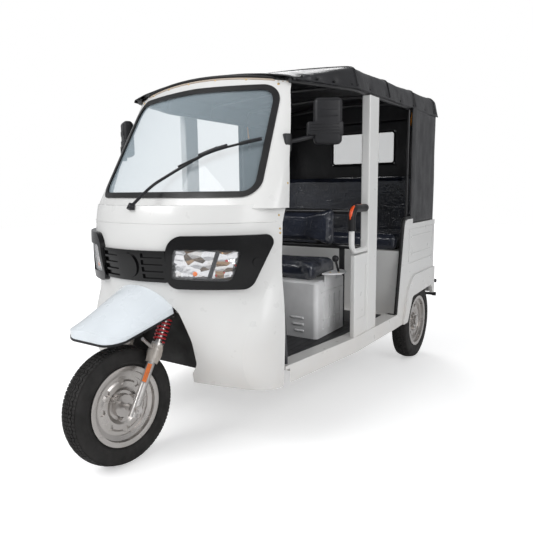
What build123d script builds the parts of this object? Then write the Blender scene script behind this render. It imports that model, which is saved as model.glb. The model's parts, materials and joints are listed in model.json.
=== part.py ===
from build123d import *
import math
import os

# Three-wheeled auto rickshaw in millimetres.
# +Z is up, the front faces -Y and +X is the vehicle's left. The ground is z = 0.
os.makedirs("parts", exist_ok=True)

# Wheels
wheelbase = 2010
front_axle_y = -1020
rear_axle_y = front_axle_y + wheelbase
rear_track = 1160
tyre_radius = 250
bead_radius = 153
flange_radius = 167
hub_bore_gap = 0.4

# Steering, built straight and then turned to its rest angle about the steering axis
rake = 31
axis_offset = 40
rest_steer = -6
leg_x = 100
leg_radius = 17

# Body
body_width = 1300
rear_end_y = 1240
sill_bottom = 310
sill_top = 390
floor_top = 375
floor_thickness = 18
wall = 10
cowl_wall = 14
waist_z = 915
door_edge = [(-628, 230), (-612, 400), (-580, 1000), (-508, 1253), (-393, 1556), (-352, 1640), (-300, 1720)]
pillar_front_y = 100
pillar_rear_y = 220
pillar_top = 1590
pillar_depth = 46

# Roof
canopy_wall = 12
soft_gap = 0.4

# Cowl sections from the bottom up
# columns: z, half_width, nose_y, corner_radius, front_radius
lower_sections = [
    (310, 557, -797, 120, 1600),
    (600, 560, -868, 200, 850),
    (860, 560, -928, 280, 590),
    (1075, 556, -904, 260, 600),
]
upper_sections = [
    (1060, 557, -796, 121, 1070),
    (1720, 468, -406, 56, 1070),
]
cowl_back_y = -120

# Plane of a headlamp, turned outwards from the front
lamp_turn = 35


def arc_mid(centre, radius, start, end):
    middle = math.radians((start + end) / 2)
    return (centre[0] + radius * math.cos(middle), centre[1] + radius * math.sin(middle))


# A cowl section: a wide front arc, two tangent corner arcs, straight sides and a straight back
def cowl_section(z, half_width, nose_y, corner_r, front_r, grow=0.0):
    w = half_width + grow
    nose = nose_y - grow
    rc = corner_r + grow
    rf = front_r + grow
    front_centre = nose + rf
    cx = w - rc
    cy = front_centre - math.sqrt((rf - rc) ** 2 - cx ** 2)
    reach = rf / (rf - rc)
    tx = cx * reach
    ty = front_centre + (cy - front_centre) * reach
    turn = math.degrees(math.atan2(ty - cy, tx - cx))
    mx, my = arc_mid((cx, cy), rc, turn, 0)
    edges = [
        ThreePointArc((-tx, ty), (0, nose), (tx, ty)),
        ThreePointArc((tx, ty), (mx, my), (w, cy)),
        Line((w, cy), (w, cowl_back_y)),
        Line((w, cowl_back_y), (-w, cowl_back_y)),
        Line((-w, cowl_back_y), (-w, cy)),
        ThreePointArc((-w, cy), (-mx, my), (-tx, ty)),
    ]
    return Plane.XY.offset(z) * make_face(edges)


def cowl_loft(table, grow=0.0):
    faces = [cowl_section(*row, grow=grow) for row in table]
    return loft(faces)


def rounded_face(points, radii, plane=Plane.XY):
    return plane * make_face(FilletPolyline(*points, radius=radii, close=True).edges())


def box_between(low, high):
    size = [b - a for a, b in zip(low, high)]
    middle = [(a + b) / 2 for a, b in zip(low, high)]
    return Pos(*middle) * Box(*size)


def rod(start, end, radius):
    a = Vector(*start)
    b = Vector(*end)
    plane = Plane(origin=a, z_dir=(b - a))
    return extrude(plane * Circle(radius), amount=(b - a).length)


def bent_tube(points, bend, radius):
    path = FilletPolyline(*points, radius=bend)
    start = Plane(origin=path @ 0, z_dir=path % 0)
    return sweep(start * Circle(radius), path=path)


def both_sides(shape):
    return shape + mirror(shape, about=Plane.YZ)


# Every node of the part goes through here
def save(shape, node):
    export_step(shape, "parts/" + node + ".step")


# Like pieces of one body on the left and the right share a node
def save_both(shape, node):
    save(both_sides(shape), node)


def save_pair(shape, name):
    save(shape, name + "_left")
    save(mirror(shape, about=Plane.YZ), name + "_right")


rake_sin = math.sin(math.radians(rake))
rake_cos = math.cos(math.radians(rake))
steer_origin = (0, front_axle_y + axis_offset * rake_cos, tyre_radius - axis_offset * rake_sin)
steer_axis = Axis(steer_origin, (0, rake_sin, rake_cos))
# Local frame of the fork: x to the left, y backwards, z up along the legs, origin in the front axle
fork_plane = Plane(origin=(0, front_axle_y, tyre_radius), x_dir=(1, 0, 0), z_dir=(0, rake_sin, rake_cos))


def in_fork(shape):
    return fork_plane.location * shape


def steered(shape):
    return shape.rotate(steer_axis, rest_steer)


# Front cowl: a full-height shell with the windscreen, the wheel arch and the door edges cut out
roof_tilt = 9
roof_front_y = -440
roof_front_z = 1648
roof_radius = 2050
arch_half_width = 236
arch_top = 718
arch_back_y = -645
seal_width = 24
seal_proud = 6
glass_thickness = 6

# columns: x, z of the half outline of the wheel arch, from the bottom up, with the corner radius
arch_rows = [
    (202, 200, 1),
    (202, 352, 18),
    (arch_half_width, 400, 40),
    (arch_half_width - 6, 500, 150),
    (190, 640, 70),
    (100, arch_top, 80),
]
# columns: x, z of the half outline of the windscreen opening, from the bottom up, with the corner radius
screen_rows = [
    (476, 1106, 66),
    (430, 1590, 95),
]
screen_crown = 1604

lower_outer = cowl_loft(lower_sections)
upper_outer = cowl_loft(upper_sections)
ledge_z = lower_sections[-1][0]
lower_inner = cowl_loft(lower_sections, -cowl_wall) - Pos(0, 0, ledge_z - cowl_wall + 100) * Box(3000, 3000, 200)
upper_inner = cowl_loft(upper_sections, -cowl_wall)

roof_forward = Vector(0, -1, 0).rotate(Axis.X, roof_tilt)
roof_up = Vector(0, 0, 1).rotate(Axis.X, roof_tilt)


# Everything above the arched roof line, lowered by the given amount
def above_roof(drop):
    radius = roof_radius - drop
    centre = Vector(0, roof_front_y, roof_front_z) - roof_up * roof_radius
    plane = Plane(origin=centre, x_dir=(1, 0, 0), z_dir=roof_forward)
    return extrude(plane * (Circle(3 * roof_radius) - Circle(radius)), amount=900, both=True)


# Everything behind the door edge, moved back by the given amount
def behind_door_edge(shift=0.0):
    points = [(y + shift, z) for y, z in door_edge]
    points += [(600, door_edge[-1][1]), (600, door_edge[0][1])]
    return extrude(Plane.YZ * Polygon(*points, align=None), amount=body_width, both=True)


# A mirrored outline in the XZ plane, grown by the given amount
def front_outline(rows, grow=0.0, crown=None):
    right = [(-x, z) for x, z, r in rows]
    left = [(x, z) for x, z, r in reversed(rows)]
    middle = [(0, crown)] if crown else []
    radii = [r for x, z, r in rows]
    face = make_face(
        FilletPolyline(
            *(right + middle + left),
            radius=radii + ([1500] if crown else []) + radii[::-1],
            close=True,
        ).edges()
    )
    return offset(face, amount=grow) if grow else face


def through_front(outline, front_y, back_y):
    plane = Plane(origin=(0, back_y, 0), x_dir=(1, 0, 0), z_dir=(0, -1, 0))
    return extrude(plane * outline, amount=back_y - front_y)


arch_outline = front_outline(arch_rows)
screen_outline = front_outline(screen_rows, crown=screen_crown)
screen_inner = front_outline(screen_rows, -seal_width, screen_crown)
screen_glass = front_outline(screen_rows, -seal_width + 6, screen_crown)

cowl = lower_outer + upper_outer
cowl -= above_roof(0)
cowl -= (lower_inner + upper_inner) - above_roof(cowl_wall)
cowl -= behind_door_edge()
cowl -= through_front(arch_outline, -1200, -540)
cowl -= through_front(screen_outline, -1200, -150)
save(cowl, "front_cowl")

seal_outer = cowl_loft(upper_sections, seal_proud)
seal_back = cowl_loft(upper_sections, -cowl_wall)
seal_ring = through_front(screen_outline, -1000, -150) - through_front(screen_inner, -1000, -150)
glass_front = cowl_loft(upper_sections, -glass_thickness / 2)
glass_back = cowl_loft(upper_sections, -glass_thickness * 3 / 2)
glass = (glass_front - glass_back) & through_front(screen_glass, -1000, -150)
seal = ((seal_outer - seal_back) & seal_ring) - glass
save(seal, "windscreen_seal")
save(glass, "windscreen")

# Inner wheel well behind the arch, with a slot in its roof for the steering head
well_wall = 5
well_grow = 8
well_outer = through_front(front_outline(arch_rows, well_grow + well_wall), -1000, arch_back_y)
well_inner = through_front(front_outline(arch_rows, well_grow), -1001, arch_back_y - well_wall)
well = (well_outer - well_inner) & cowl_loft(lower_sections, -cowl_wall - soft_gap)
well -= box_between((-400, -1100, 0), (400, 0, sill_bottom + 4))
head_radius = 30
head_low = 560
head_high = 800
well -= in_fork(Pos(0, axis_offset, 700) * Cylinder(head_radius + 12, 500))
save(well, "wheel_well")

# Grille strip between the lamps, with a bare round disc
grille_half_width = 184
grille_low = 765
grille_high = 896
grille_proud = 12
disc_radius = 52
disc_z = 830
grille_face = Pos(0, (grille_low + grille_high) / 2) * RectangleRounded(
    2 * grille_half_width, grille_high - grille_low, 10
)
grille_front = cowl_loft(lower_sections, grille_proud)
grille_base = cowl_loft(lower_sections, 0.3)
grille = (grille_front - grille_base) & through_front(grille_face, -1200, -600)
# columns: z of each slot's lower edge, its height
slot_rows = [(779, 20), (808, 20), (837, 20), (866, 18)]
slot_floor = cowl_loft(lower_sections, 4)
for slot_z, slot_height in slot_rows:
    for side in (-1, 1):
        slot = box_between((70, -1200, slot_z), (170, -600, slot_z + slot_height))
        slot = slot if side > 0 else mirror(slot, about=Plane.YZ)
        grille -= slot - slot_floor
disc_plane = Plane(origin=(0, -700, disc_z), x_dir=(1, 0, 0), z_dir=(0, -1, 0))
disc = extrude(disc_plane * Circle(disc_radius), amount=500) & (cowl_loft(lower_sections, grille_proud + 8) - grille_base)
grille += disc
save(grille, "grille")

# Headlamps: a raised frame round each lamp, wrapped over the cowl's corner
# columns: distance along the lamp's plane from the middle of the vehicle, z, corner radius
bezel_rows = [(-371, 742, 50), (-368, 957, 70), (87, 957, 32), (-26, 737, 60)]
lens_rows = [(-350, 782, 12), (-338, 906, 24), (-66, 898, 12), (-104, 772, 36)]
bezel_proud = 22
bezel_wall = 4
lens_inset = 2
knob_place = (0, 846)
knob_radius = 19
lamp_plane = Plane(
    origin=(0, 0, 0),
    x_dir=(math.cos(math.radians(lamp_turn)), math.sin(math.radians(lamp_turn)), 0),
    z_dir=(math.sin(math.radians(lamp_turn)), -math.cos(math.radians(lamp_turn)), 0),
)


def lamp_solid(rows, grow=0.0):
    points = [(u, z) for u, z, r in rows]
    radii = [r for u, z, r in rows]
    face = make_face(FilletPolyline(*points, radius=radii, close=True).edges())
    if grow:
        face = offset(face, amount=grow)
    return extrude(lamp_plane.offset(450) * face, amount=900)


bezel = (cowl_loft(lower_sections, bezel_proud) - cowl_loft(lower_sections, 0.3)) & lamp_solid(bezel_rows)
bezel -= lamp_solid(lens_rows)
bezel -= box_between((-300, -1200, grille_low - 1), (grille_half_width + 1, -600, grille_high + 1))
knob_plane = lamp_plane.offset(450)
knob = extrude(knob_plane * Pos(*knob_place) * Circle(knob_radius), amount=900)
bezel += knob & (cowl_loft(lower_sections, bezel_proud + 5) - cowl_loft(lower_sections, 0.3))
lens = (cowl_loft(lower_sections, bezel_proud - 8) - cowl_loft(lower_sections, bezel_proud - 14)) & lamp_solid(lens_rows, -0.5)
save_both(bezel, "headlamp_frames")
save_both(lens, "headlamp_lenses")

# Wiper: a pivot on the ledge, an arm and a blade that lie over the glass
wiper_pivot = (6, -912, 1068)
wiper_elbow = (12, -752, 1178)
wiper_tip = (262, -642, 1316)
blade_start = (92, -716, 1236)
blade_end = (428, -560, 1346)
wiper = Pos(*wiper_pivot) * Cylinder(16, 26)
wiper += rod(wiper_pivot, wiper_elbow, 6)
wiper += Pos(*wiper_elbow) * Sphere(7)
wiper += rod(wiper_elbow, wiper_tip, 5)
wiper += rod(blade_start, blade_end, 5)
save(max((wiper - cowl).solids(), key=lambda solid: solid.volume), "wiper")

# Mirrors on arms beside the windscreen
mirror_centre = (612, -352, 1420)
mirror_size = (158, 54, 194)
mirror_turn = 33
mirror_head = Pos(*mirror_centre) * Rot(0, 0, mirror_turn) * fillet(Box(*mirror_size).edges(), 22)
mirror_arm = bent_tube([(505, -474, 1332), (548, -440, 1345), (578, -372, 1356)], 20, 9)
mirror_foot = Pos(502, -484, 1330) * Rot(0, 0, 62) * fillet(Box(34, 26, 74).edges(), 6)
save_both((mirror_head + mirror_arm + mirror_foot) - cowl_loft(upper_sections, 0.3), "mirrors")

# Floor on two long rails with cross members
rail_x = 300
rail_width = 46
rail_low = 292
rail_front_y = -540
rail_rear_y = 1170
floor_front_y = -560
floor_rear_y = 600
floor_half_width = 560
rail_top = floor_top - floor_thickness
rail = box_between((rail_x - rail_width / 2, rail_front_y, rail_low), (rail_x + rail_width / 2, rail_rear_y, rail_top))
chassis = both_sides(rail)
for cross_y in (-480, -60, 380, 1140):
    chassis += box_between((-rail_x, cross_y - 22, rail_low + 6), (rail_x, cross_y + 22, rail_top))
head_tube = in_fork(Pos(0, axis_offset, (head_low + head_high) / 2) * Cylinder(head_radius, head_high - head_low))
head_foot = fork_plane.from_local_coords(Vector(0, axis_offset + 20, head_high - 60))
strut_radius = 18
strut_low = (rail_x, rail_front_y + 22, rail_low + 32)
strut_high = (16, head_foot.Y, head_foot.Z)
strut_room = both_sides(rod(strut_low, strut_high, strut_radius + 0.4))
chassis += both_sides(rod(strut_low, strut_high, strut_radius))
for mount_y in (806, 1084):
    chassis += box_between((-rail_x, mount_y - 18, rail_low + 6), (rail_x, mount_y + 18, rail_top))
chassis += head_tube
stem_radius = 15
stem_gap = 0.3
chassis -= in_fork(Pos(0, axis_offset, 700) * Cylinder(stem_radius + stem_gap, 1200))
save(chassis, "chassis_frame")

floor = box_between((-floor_half_width, floor_front_y, rail_top), (floor_half_width, floor_rear_y, floor_top))
save(floor - strut_room, "floor_pan")
mat_thickness = 4
mat_half_width = floor_half_width - 12
mat_front_y = floor_front_y + 14
mat_rear_y = floor_rear_y - 80
mat = box_between((-mat_half_width, mat_front_y, floor_top), (mat_half_width, mat_rear_y, floor_top + mat_thickness))
# Ribs under the driver's feet, then a flat tread in the passengers' footwell
rib_pitch = 36
rib_height = 2
tread_front_y = pillar_rear_y + 30
tread_rear_y = mat_rear_y - 20
rib_top = floor_top + mat_thickness + rib_height
for i in range(-15, 16):
    mat += box_between((i * rib_pitch - 5, mat_front_y, floor_top), (i * rib_pitch + 5, tread_front_y - 10, rib_top))
mat += box_between((-mat_half_width + 8, tread_front_y, floor_top), (mat_half_width - 8, tread_rear_y, rib_top))

# Sills follow the body's plan from the cowl to the rear quarter
# columns: x, y of the sill's outer edge
sill_plan = [(556, -600), (634, -30), (650, 470), (650, 500)]
sill_depth = 75
outer_edge = [(x, y) for x, y in sill_plan]
inner_edge = [(x - sill_depth, y) for x, y in reversed(sill_plan)]
sill = extrude(Plane.XY.offset(sill_bottom) * Polygon(*(outer_edge + inner_edge), align=None), amount=sill_top - sill_bottom)
sill -= box_between((0, -700, 0), (floor_half_width + 0.1, 700, floor_top + 0.1))
save_both(sill, "sills")
save(mat - strut_room - both_sides(sill), "floor_mat")

# Door pillars with the lower partition panel beside the driver's seat
pillar_outer_x = 634
partition_front_y = -58
partition_top = 806
pillar = box_between((pillar_outer_x - pillar_depth, pillar_front_y, sill_top), (pillar_outer_x, pillar_rear_y, pillar_top))
pillar = fillet(pillar.edges().filter_by(Axis.Z), 8)
panel = box_between((pillar_outer_x - 30, partition_front_y, sill_top), (pillar_outer_x - 4, pillar_front_y + 20, partition_top))
panel = fillet(panel.edges().filter_by(Axis.Z), 6)
press = box_between((pillar_outer_x - 6, partition_front_y + 26, sill_top + 90), (pillar_outer_x, pillar_front_y - 22, partition_top - 60))

# Grab handles: a white hoop with a moulded grip
handle_x = pillar_outer_x - 20
handle_front_y = -66
handle_low_z = 824
handle_top_z = 1036
hoop = [(handle_x, pillar_front_y, handle_low_z), (handle_x, handle_front_y, handle_low_z), (handle_x, handle_front_y, 928)]
hoop_tube = bent_tube(hoop, 44, 14)
save_both(pillar + (panel - press) + hoop_tube, "door_pillars")
grip = [(handle_x, handle_front_y, 928.4), (handle_x, handle_front_y, handle_top_z), (handle_x, pillar_front_y, handle_top_z)]
save_both(bent_tube(grip, 48, 19), "handle_grips")

# Driver's seat box, cushion and backrest
box_half_width = 470
box_front_y = -157
box_rear_y = 169
box_top = 672
seat_box = box_between((-box_half_width, box_front_y, floor_top + mat_thickness + 2), (box_half_width, box_rear_y, box_top))
seat_box = fillet(seat_box.edges().filter_by(Axis.Z), 24)
seat_box = chamfer(seat_box.edges().group_by(Axis.Z)[-1], 10)
for i in range(4):
    groove = box_between((-box_half_width, box_front_y + 60 + i * 62, 420), (-box_half_width + 5, box_front_y + 84 + i * 62, 590))
    seat_box -= both_sides(groove)
save(seat_box, "driver_seat_box")
cushion = box_between((-box_half_width + 14, box_front_y + 8, box_top + soft_gap), (box_half_width - 14, box_rear_y - 6, 766))
save(fillet(cushion.edges(), 26), "driver_cushion")
bar_y = 196
bar_low_z = 820
bar_high_z = 1010
inner_pillar_x = pillar_outer_x - pillar_depth
bars = rod((-inner_pillar_x, bar_y, bar_low_z), (inner_pillar_x, bar_y, bar_low_z), 14)
bars += rod((-inner_pillar_x, bar_y, bar_high_z), (inner_pillar_x, bar_y, bar_high_z), 14)
for side in (-1, 1):
    bars += box_between((side * 300 - 15, bar_y - 4, bar_low_z), (side * 300 + 15, bar_y + 4, bar_high_z))
    bars += box_between((side * 440 - 15, bar_y - 4, floor_top + mat_thickness + 2), (side * 440 + 15, bar_y + 4, bar_low_z))
save(bars, "partition_bars")
backrest = box_between((-440, bar_y - 14 - soft_gap - 76, 816), (440, bar_y - 14 - soft_gap, 1040))
save(fillet(backrest.edges(), 26), "driver_backrest")

# Hand brake lever on its half-round plate at the driver's left
plate_z = 706
plate = extrude(Plane.XY.offset(plate_z) * (Pos(506, -16) * Circle(86) & Pos(560, -16) * Rectangle(107, 200)), amount=8)
plate += box_between((506, -16 - 60, plate_z - 60), (512, -16 + 60, plate_z))
plate = Pos(-35.5, 0, 0) * plate
save(plate, "lever_plate")
lever = rod((520, -16, plate_z + 12.5), (536, -84, plate_z + 78), 6) + Pos(536, -84, plate_z + 84) * Sphere(17)
save(lever, "hand_lever")

# Dashboard and toe board, with a slot for the steering column
dash_profile = [(-900, 1040), (-640, 1040), (-592, 700), (-566, floor_top + mat_thickness + 9)]
dash_thickness = 12
dash_line = FilletPolyline(*dash_profile, radius=[24, 60])
dash_face = Plane.YZ * trace(dash_line, dash_thickness)
dash = extrude(dash_face, amount=700, both=True) & cowl_loft(lower_sections, -cowl_wall - 0.3)
dash -= in_fork(Pos(0, axis_offset, 700) * Cylinder(46, 1200))
save(dash - strut_room - both_sides(sill), "dashboard")
pedal_x = 120
pedal = box_between((pedal_x - 25, -508, 430), (pedal_x + 25, -496, 500))
pedal += box_between((pedal_x - 7, -520, 392), (pedal_x + 7, -507, 470))
pedal += box_between((pedal_x - 15, -530, floor_top + mat_thickness + 2), (pedal_x + 15, -490, 394))
save(pedal, "brake_pedal")

# Rear quarters: side panels with the wheel opening, a raised flare and a pressed field
quarter_outer_x = body_width / 2
quarter_top_corner_z = 945
# columns: y, z, corner radius, going round the panel
quarter_rows = [
    (500.5, sill_bottom, 1),
    (684, sill_bottom, 20),
    (768, 458, 40),
    (1165, 470, 30),
    (1205, 408, 10),
    (rear_end_y, 408, 1),
    (rear_end_y, waist_z, 1),
    (764, waist_z, 1),
    (764, quarter_top_corner_z, 1),
    (622, quarter_top_corner_z, 60),
    (522, sill_top, 16),
    (500.5, sill_top, 1),
]
flare_rows = [(612, 330, 1), (690, 520, 60), (780, 590, 120), (rear_end_y, 590, 1), (rear_end_y, 400, 1), (612, 200, 1)]


def side_solid(rows, x_low, x_high):
    points = [(y, z) for y, z, r in rows]
    radii = [r for y, z, r in rows]
    face = make_face(FilletPolyline(*points, radius=radii, close=True).edges())
    return extrude(Plane.YZ.offset(x_low) * face, amount=x_high - x_low)


quarter = side_solid(quarter_rows, quarter_outer_x - wall, quarter_outer_x)
quarter += side_solid(flare_rows, quarter_outer_x - wall, quarter_outer_x + 12) & side_solid(
    quarter_rows, quarter_outer_x - wall, quarter_outer_x + 12
)
field = extrude(Plane.YZ.offset(quarter_outer_x - 4) * Pos(945, 778) * (RectangleRounded(490, 216, 20) - RectangleRounded(474, 200, 14)), amount=10)
quarter -= field
for rib_z in (722, 832):
    quarter += box_between((quarter_outer_x - 2, 740, rib_z - 6), (quarter_outer_x + 4, 1150, rib_z + 6))
save_both(quarter, "rear_quarters")

# Rear panel with its lid opening, engine bay sides and the rear seat's base
lid_half_width = 415
lid_low = 520
lid_high = 842
lid_lap = 15
panel_y = rear_end_y - wall
rear_panel = box_between((-quarter_outer_x + wall, panel_y, 408), (quarter_outer_x - wall, rear_end_y, waist_z))
rear_panel -= box_between(
    (-lid_half_width + lid_lap, 1000, lid_low + lid_lap), (lid_half_width - lid_lap, 1300, lid_high - lid_lap)
)
lid_gap = 1
lid_thickness = 8
hinge_radius = 6
hinge_y = rear_end_y + lid_gap + hinge_radius
hinge_z = lid_high + hinge_radius
pin_radius = 3
lid = box_between((-lid_half_width, rear_end_y + lid_gap, lid_low), (lid_half_width, rear_end_y + lid_gap + lid_thickness, lid_high))
lid = fillet(lid.edges().filter_by(Axis.Y), 12)
for i in range(5):
    lid -= box_between((-300, rear_end_y + lid_gap - 1, 580 + i * 36), (300, rear_end_y + lid_gap + 20, 594 + i * 36))
for side in (-1, 1):
    lid += rod((side * 260 - 24, hinge_y, hinge_z), (side * 260 + 24, hinge_y, hinge_z), hinge_radius)
    lid += box_between((side * 260 - 24, rear_end_y + lid_gap, lid_high - 10), (side * 260 + 24, hinge_y + 1, hinge_z))
    lid -= rod((side * 260 - 60, hinge_y, hinge_z), (side * 260 + 60, hinge_y, hinge_z), pin_radius + 0.3)
lid += rod((0, rear_end_y + lid_gap + lid_thickness, lid_low + 34), (0, rear_end_y + lid_gap + lid_thickness + 10, lid_low + 34), 14)
hinge_list = []
for side in (-1, 1):
    pin = rod((side * 260 - 44, hinge_y, hinge_z), (side * 260 + 44, hinge_y, hinge_z), pin_radius)
    for end in (-34, 34):
        x = side * 260 + end
        lid -= box_between((x - 10, rear_end_y, lid_high - 12), (x + 10, rear_end_y + 20, lid_high + 1))
        pin += box_between((x - 8, rear_end_y, hinge_z - hinge_radius), (x + 8, hinge_y + hinge_radius, hinge_z + hinge_radius))
        pin += box_between((x - 8, rear_end_y, hinge_z - 4), (x + 8, rear_end_y + 4, hinge_z + 26))
    hinge_list.append(pin)
save(lid, "rear_lid")
plate_hole_spacing = 170
plate_hole_radius = 3.5
plate_hole_z = 885
for x in (-plate_hole_spacing / 2, plate_hole_spacing / 2):
    rear_panel -= rod((x, panel_y - 1, plate_hole_z), (x, rear_end_y + 1, plate_hole_z), plate_hole_radius)
save(rear_panel + hinge_list[0] + hinge_list[1], "rear_panel")

lamp = box_between((486, rear_end_y, 596), (606, rear_end_y + 26, 726))
lamp = fillet(lamp.edges().filter_by(Axis.Y), 14)
save_both(lamp, "tail_lamps")

seat_front_y = 590
seat_board_z = 745
side_inner_x = quarter_outer_x - wall
house_front_y = 706
house_top = 560
house_x = 505
seat_base = box_between((-side_inner_x, seat_front_y, floor_top), (side_inner_x, seat_front_y + 14, seat_board_z))
seat_base += box_between((-side_inner_x, seat_front_y, seat_board_z), (side_inner_x, panel_y, seat_board_z + 14))
seat_base += box_between((-side_inner_x, 1170, seat_board_z), (side_inner_x, 1186, 1190))
save(seat_base, "rear_seat_base")
house = box_between((house_x, house_front_y, sill_bottom + 10), (side_inner_x, panel_y, house_top + 6))
house -= box_between((house_x + 6, house_front_y + 6, 0), (side_inner_x + 1, panel_y + 1, house_top))
save_both(house, "wheel_houses")

rear_cushion = box_between((-side_inner_x + 12, seat_front_y - 8, seat_board_z + 14 + soft_gap), (side_inner_x - 12, 1066, 856))
save(fillet(rear_cushion.edges(), 28), "rear_cushion")
rear_back = box_between((-side_inner_x + 12, 1072, seat_board_z + 14 + soft_gap), (side_inner_x - 12, 1170 - soft_gap, 1250))
save(fillet(rear_back.edges(), 28), "rear_backrest")

# Roof frame: hem rails, bows and posts under the canopy
# columns: y, half_width, hem_z, shoulder_z, crown_z
canopy_sections = [
    (-428, 492, 1600, 1614, 1668),
    (-30, 630, 1600, 1706, 1738),
    (rear_end_y + 12, 650, 1600, 1722, 1764),
]


def canopy_face(y, half_width, hem_z, shoulder_z, crown_z, grow=0.0):
    w = half_width + grow
    top = shoulder_z + grow
    crown = crown_z + grow
    lean = (shoulder_z - hem_z) * 0.22
    edges = [
        Line((-w, hem_z), (-w + lean, top)),
        ThreePointArc((-w + lean, top), (0, crown), (w - lean, top)),
        Line((w - lean, top), (w, hem_z)),
        Line((w, hem_z), (-w, hem_z)),
    ]
    plane = Plane(origin=(0, y, 0), x_dir=(-1, 0, 0), z_dir=(0, 1, 0))
    face = plane * make_face(edges)
    shoulders = face.vertices().sort_by(Axis.Z)[-2:]
    return fillet(shoulders, min(46, (shoulder_z - hem_z) * 0.5))


canopy_outer = loft([canopy_face(*row) for row in canopy_sections], ruled=True)
canopy_inner = loft([canopy_face(*row, grow=-canopy_wall) for row in canopy_sections], ruled=True)
canopy_inner = canopy_inner & box_between((-900, -600, 1500), (900, rear_end_y, 2000))
canopy_plan = [(-700, 1300), (-700, -200), (-492, -414), (492, -414), (700, -200), (700, 1300)]
canopy_plan_face = make_face(FilletPolyline(*canopy_plan, radius=[1, 60, 80, 80, 60, 1], close=True).edges())
canopy = (canopy_outer - canopy_inner) & extrude(Plane.XY.offset(1600) * canopy_plan_face, amount=400)
save(canopy, "canopy")

# The inner half width of the canopy at a place along its length
def canopy_at(y, column):
    front, rear = (0, 1) if y < canopy_sections[1][0] else (1, 2)
    share = (y - canopy_sections[front][0]) / (canopy_sections[rear][0] - canopy_sections[front][0])
    return canopy_sections[front][column] + share * (canopy_sections[rear][column] - canopy_sections[front][column])


bow_radius = 10
rail_radius = 12
post_radius = 9
bow_inset = canopy_wall + rail_radius + 1
bow_lean = 0.3
bow_crown_bend = 4000
bow_corner_bend = 34
rail_z = pillar_top + rail_radius
bow_ys = (-30, 380, 800, 1200)
rail_points = [(canopy_sections[0][1] - bow_inset - 4, -392, rail_z)]
rail_points += [(canopy_at(y, 1) - bow_inset, y, rail_z) for y in (bow_ys[0], bow_ys[-1])]
post_rows = [(745, 2), (bow_ys[-1], 0)]
roof_half = bent_tube(rail_points, 400, rail_radius)
for post_y, inset in post_rows:
    post_x = canopy_at(post_y, 1) - bow_inset - inset
    roof_half += rod((post_x, post_y, waist_z - 38), (post_x, post_y, rail_z), post_radius)
roof_frame = both_sides(roof_half)
for bow_y in bow_ys:
    w = canopy_at(bow_y, 1) - bow_inset
    shoulder = canopy_at(bow_y, 3) - bow_inset - 4
    crown = canopy_at(bow_y, 4) - bow_inset
    corner_x = w - (shoulder - rail_z) * bow_lean
    half = [(w, bow_y, rail_z), (corner_x, bow_y, shoulder)]
    other = [(-x, y, z) for x, y, z in reversed(half)]
    bow_path = FilletPolyline(*half, (0, bow_y, crown), *other, radius=[bow_corner_bend, bow_crown_bend, bow_corner_bend])
    roof_frame += sweep(Plane(origin=bow_path @ 0, z_dir=bow_path % 0) * Circle(bow_radius), path=bow_path)
save(roof_frame, "roof_frame")

# Side and rear curtains in one piece, and the clear pane in the rear one
curtain_front_y = 732
curtain_wall = 6
curtain_half_width = quarter_outer_x - 3
curtain_top = 1599
curtain_low = waist_z + 1
pane_low_x = -128
pane_high_x = 353
pane_low_z = 1308
pane_high_z = 1530
curtain = box_between((-curtain_half_width, 765, curtain_low), (curtain_half_width, rear_end_y + 2, curtain_top))
curtain += box_between((-curtain_half_width, curtain_front_y, quarter_top_corner_z + 1), (curtain_half_width, 800, curtain_top))
curtain = fillet(curtain.edges().filter_by(Axis.Z).group_by(Axis.Y)[-1], 30)
curtain_hollow = box_between(
    (-curtain_half_width + curtain_wall, 600, 800), (curtain_half_width - curtain_wall, rear_end_y + 2 - curtain_wall, 1700)
)
curtain -= fillet(curtain_hollow.edges().filter_by(Axis.Z).group_by(Axis.Y)[-1], 30 - curtain_wall)
pane_face = Pos((pane_low_x + pane_high_x) / 2, (pane_low_z + pane_high_z) / 2) * RectangleRounded(
    pane_high_x - pane_low_x, pane_high_z - pane_low_z, 26
)
pane_plane = Plane(origin=(0, rear_end_y + 10, 0), x_dir=(1, 0, 0), z_dir=(0, -1, 0))
curtain -= extrude(pane_plane * pane_face, amount=40)
save(curtain, "curtain")
pane = extrude(Plane(origin=(0, rear_end_y, 0), x_dir=(1, 0, 0), z_dir=(0, -1, 0)) * offset(pane_face, amount=-soft_gap), amount=2)
save(pane, "curtain_window")

# Assist straps hanging from the hem rails at the rear seat
strap_y = 812
strap_x = canopy_at(strap_y, 1) - bow_inset
strap = box_between((strap_x - 2, strap_y - 10, 1500), (strap_x + 2, strap_y + 10, rail_z - rail_radius - 0.3))
strap += Pos(strap_x, strap_y, 1452) * Cylinder(11, 98)
save_both(strap, "assist_straps")

# Rear bumper: two tubes on brackets from the rails, with plastic caps
bumper_y = 1272
bumper_radius = 10
bumper_half_width = 656
bumper_zs = (385, 480)
bumper_list = []
cap_list = []
for tube_z in bumper_zs:
    bumper_list.append(rod((-bumper_half_width, bumper_y, tube_z), (bumper_half_width, bumper_y, tube_z), bumper_radius))
    cap = rod((bumper_half_width - 14, bumper_y, tube_z), (bumper_half_width + 10, bumper_y, tube_z), bumper_radius + 3)
    cap -= rod((0, bumper_y, tube_z), (bumper_half_width, bumper_y, tube_z), bumper_radius)
    cap_list.append(both_sides(cap))
bumper = bumper_list[0] + bumper_list[1]
bracket = box_between((rail_x - 6, rail_rear_y - 60, rail_top), (rail_x + 6, bumper_y, rail_top + 30))
bracket += box_between((rail_x - 6, bumper_y - 30, rail_top), (rail_x + 6, bumper_y, bumper_zs[1] + 6))
bumper += both_sides(bracket)
save(bumper, "rear_bumper")
save(cap_list[0] + cap_list[1], "bumper_caps")

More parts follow.
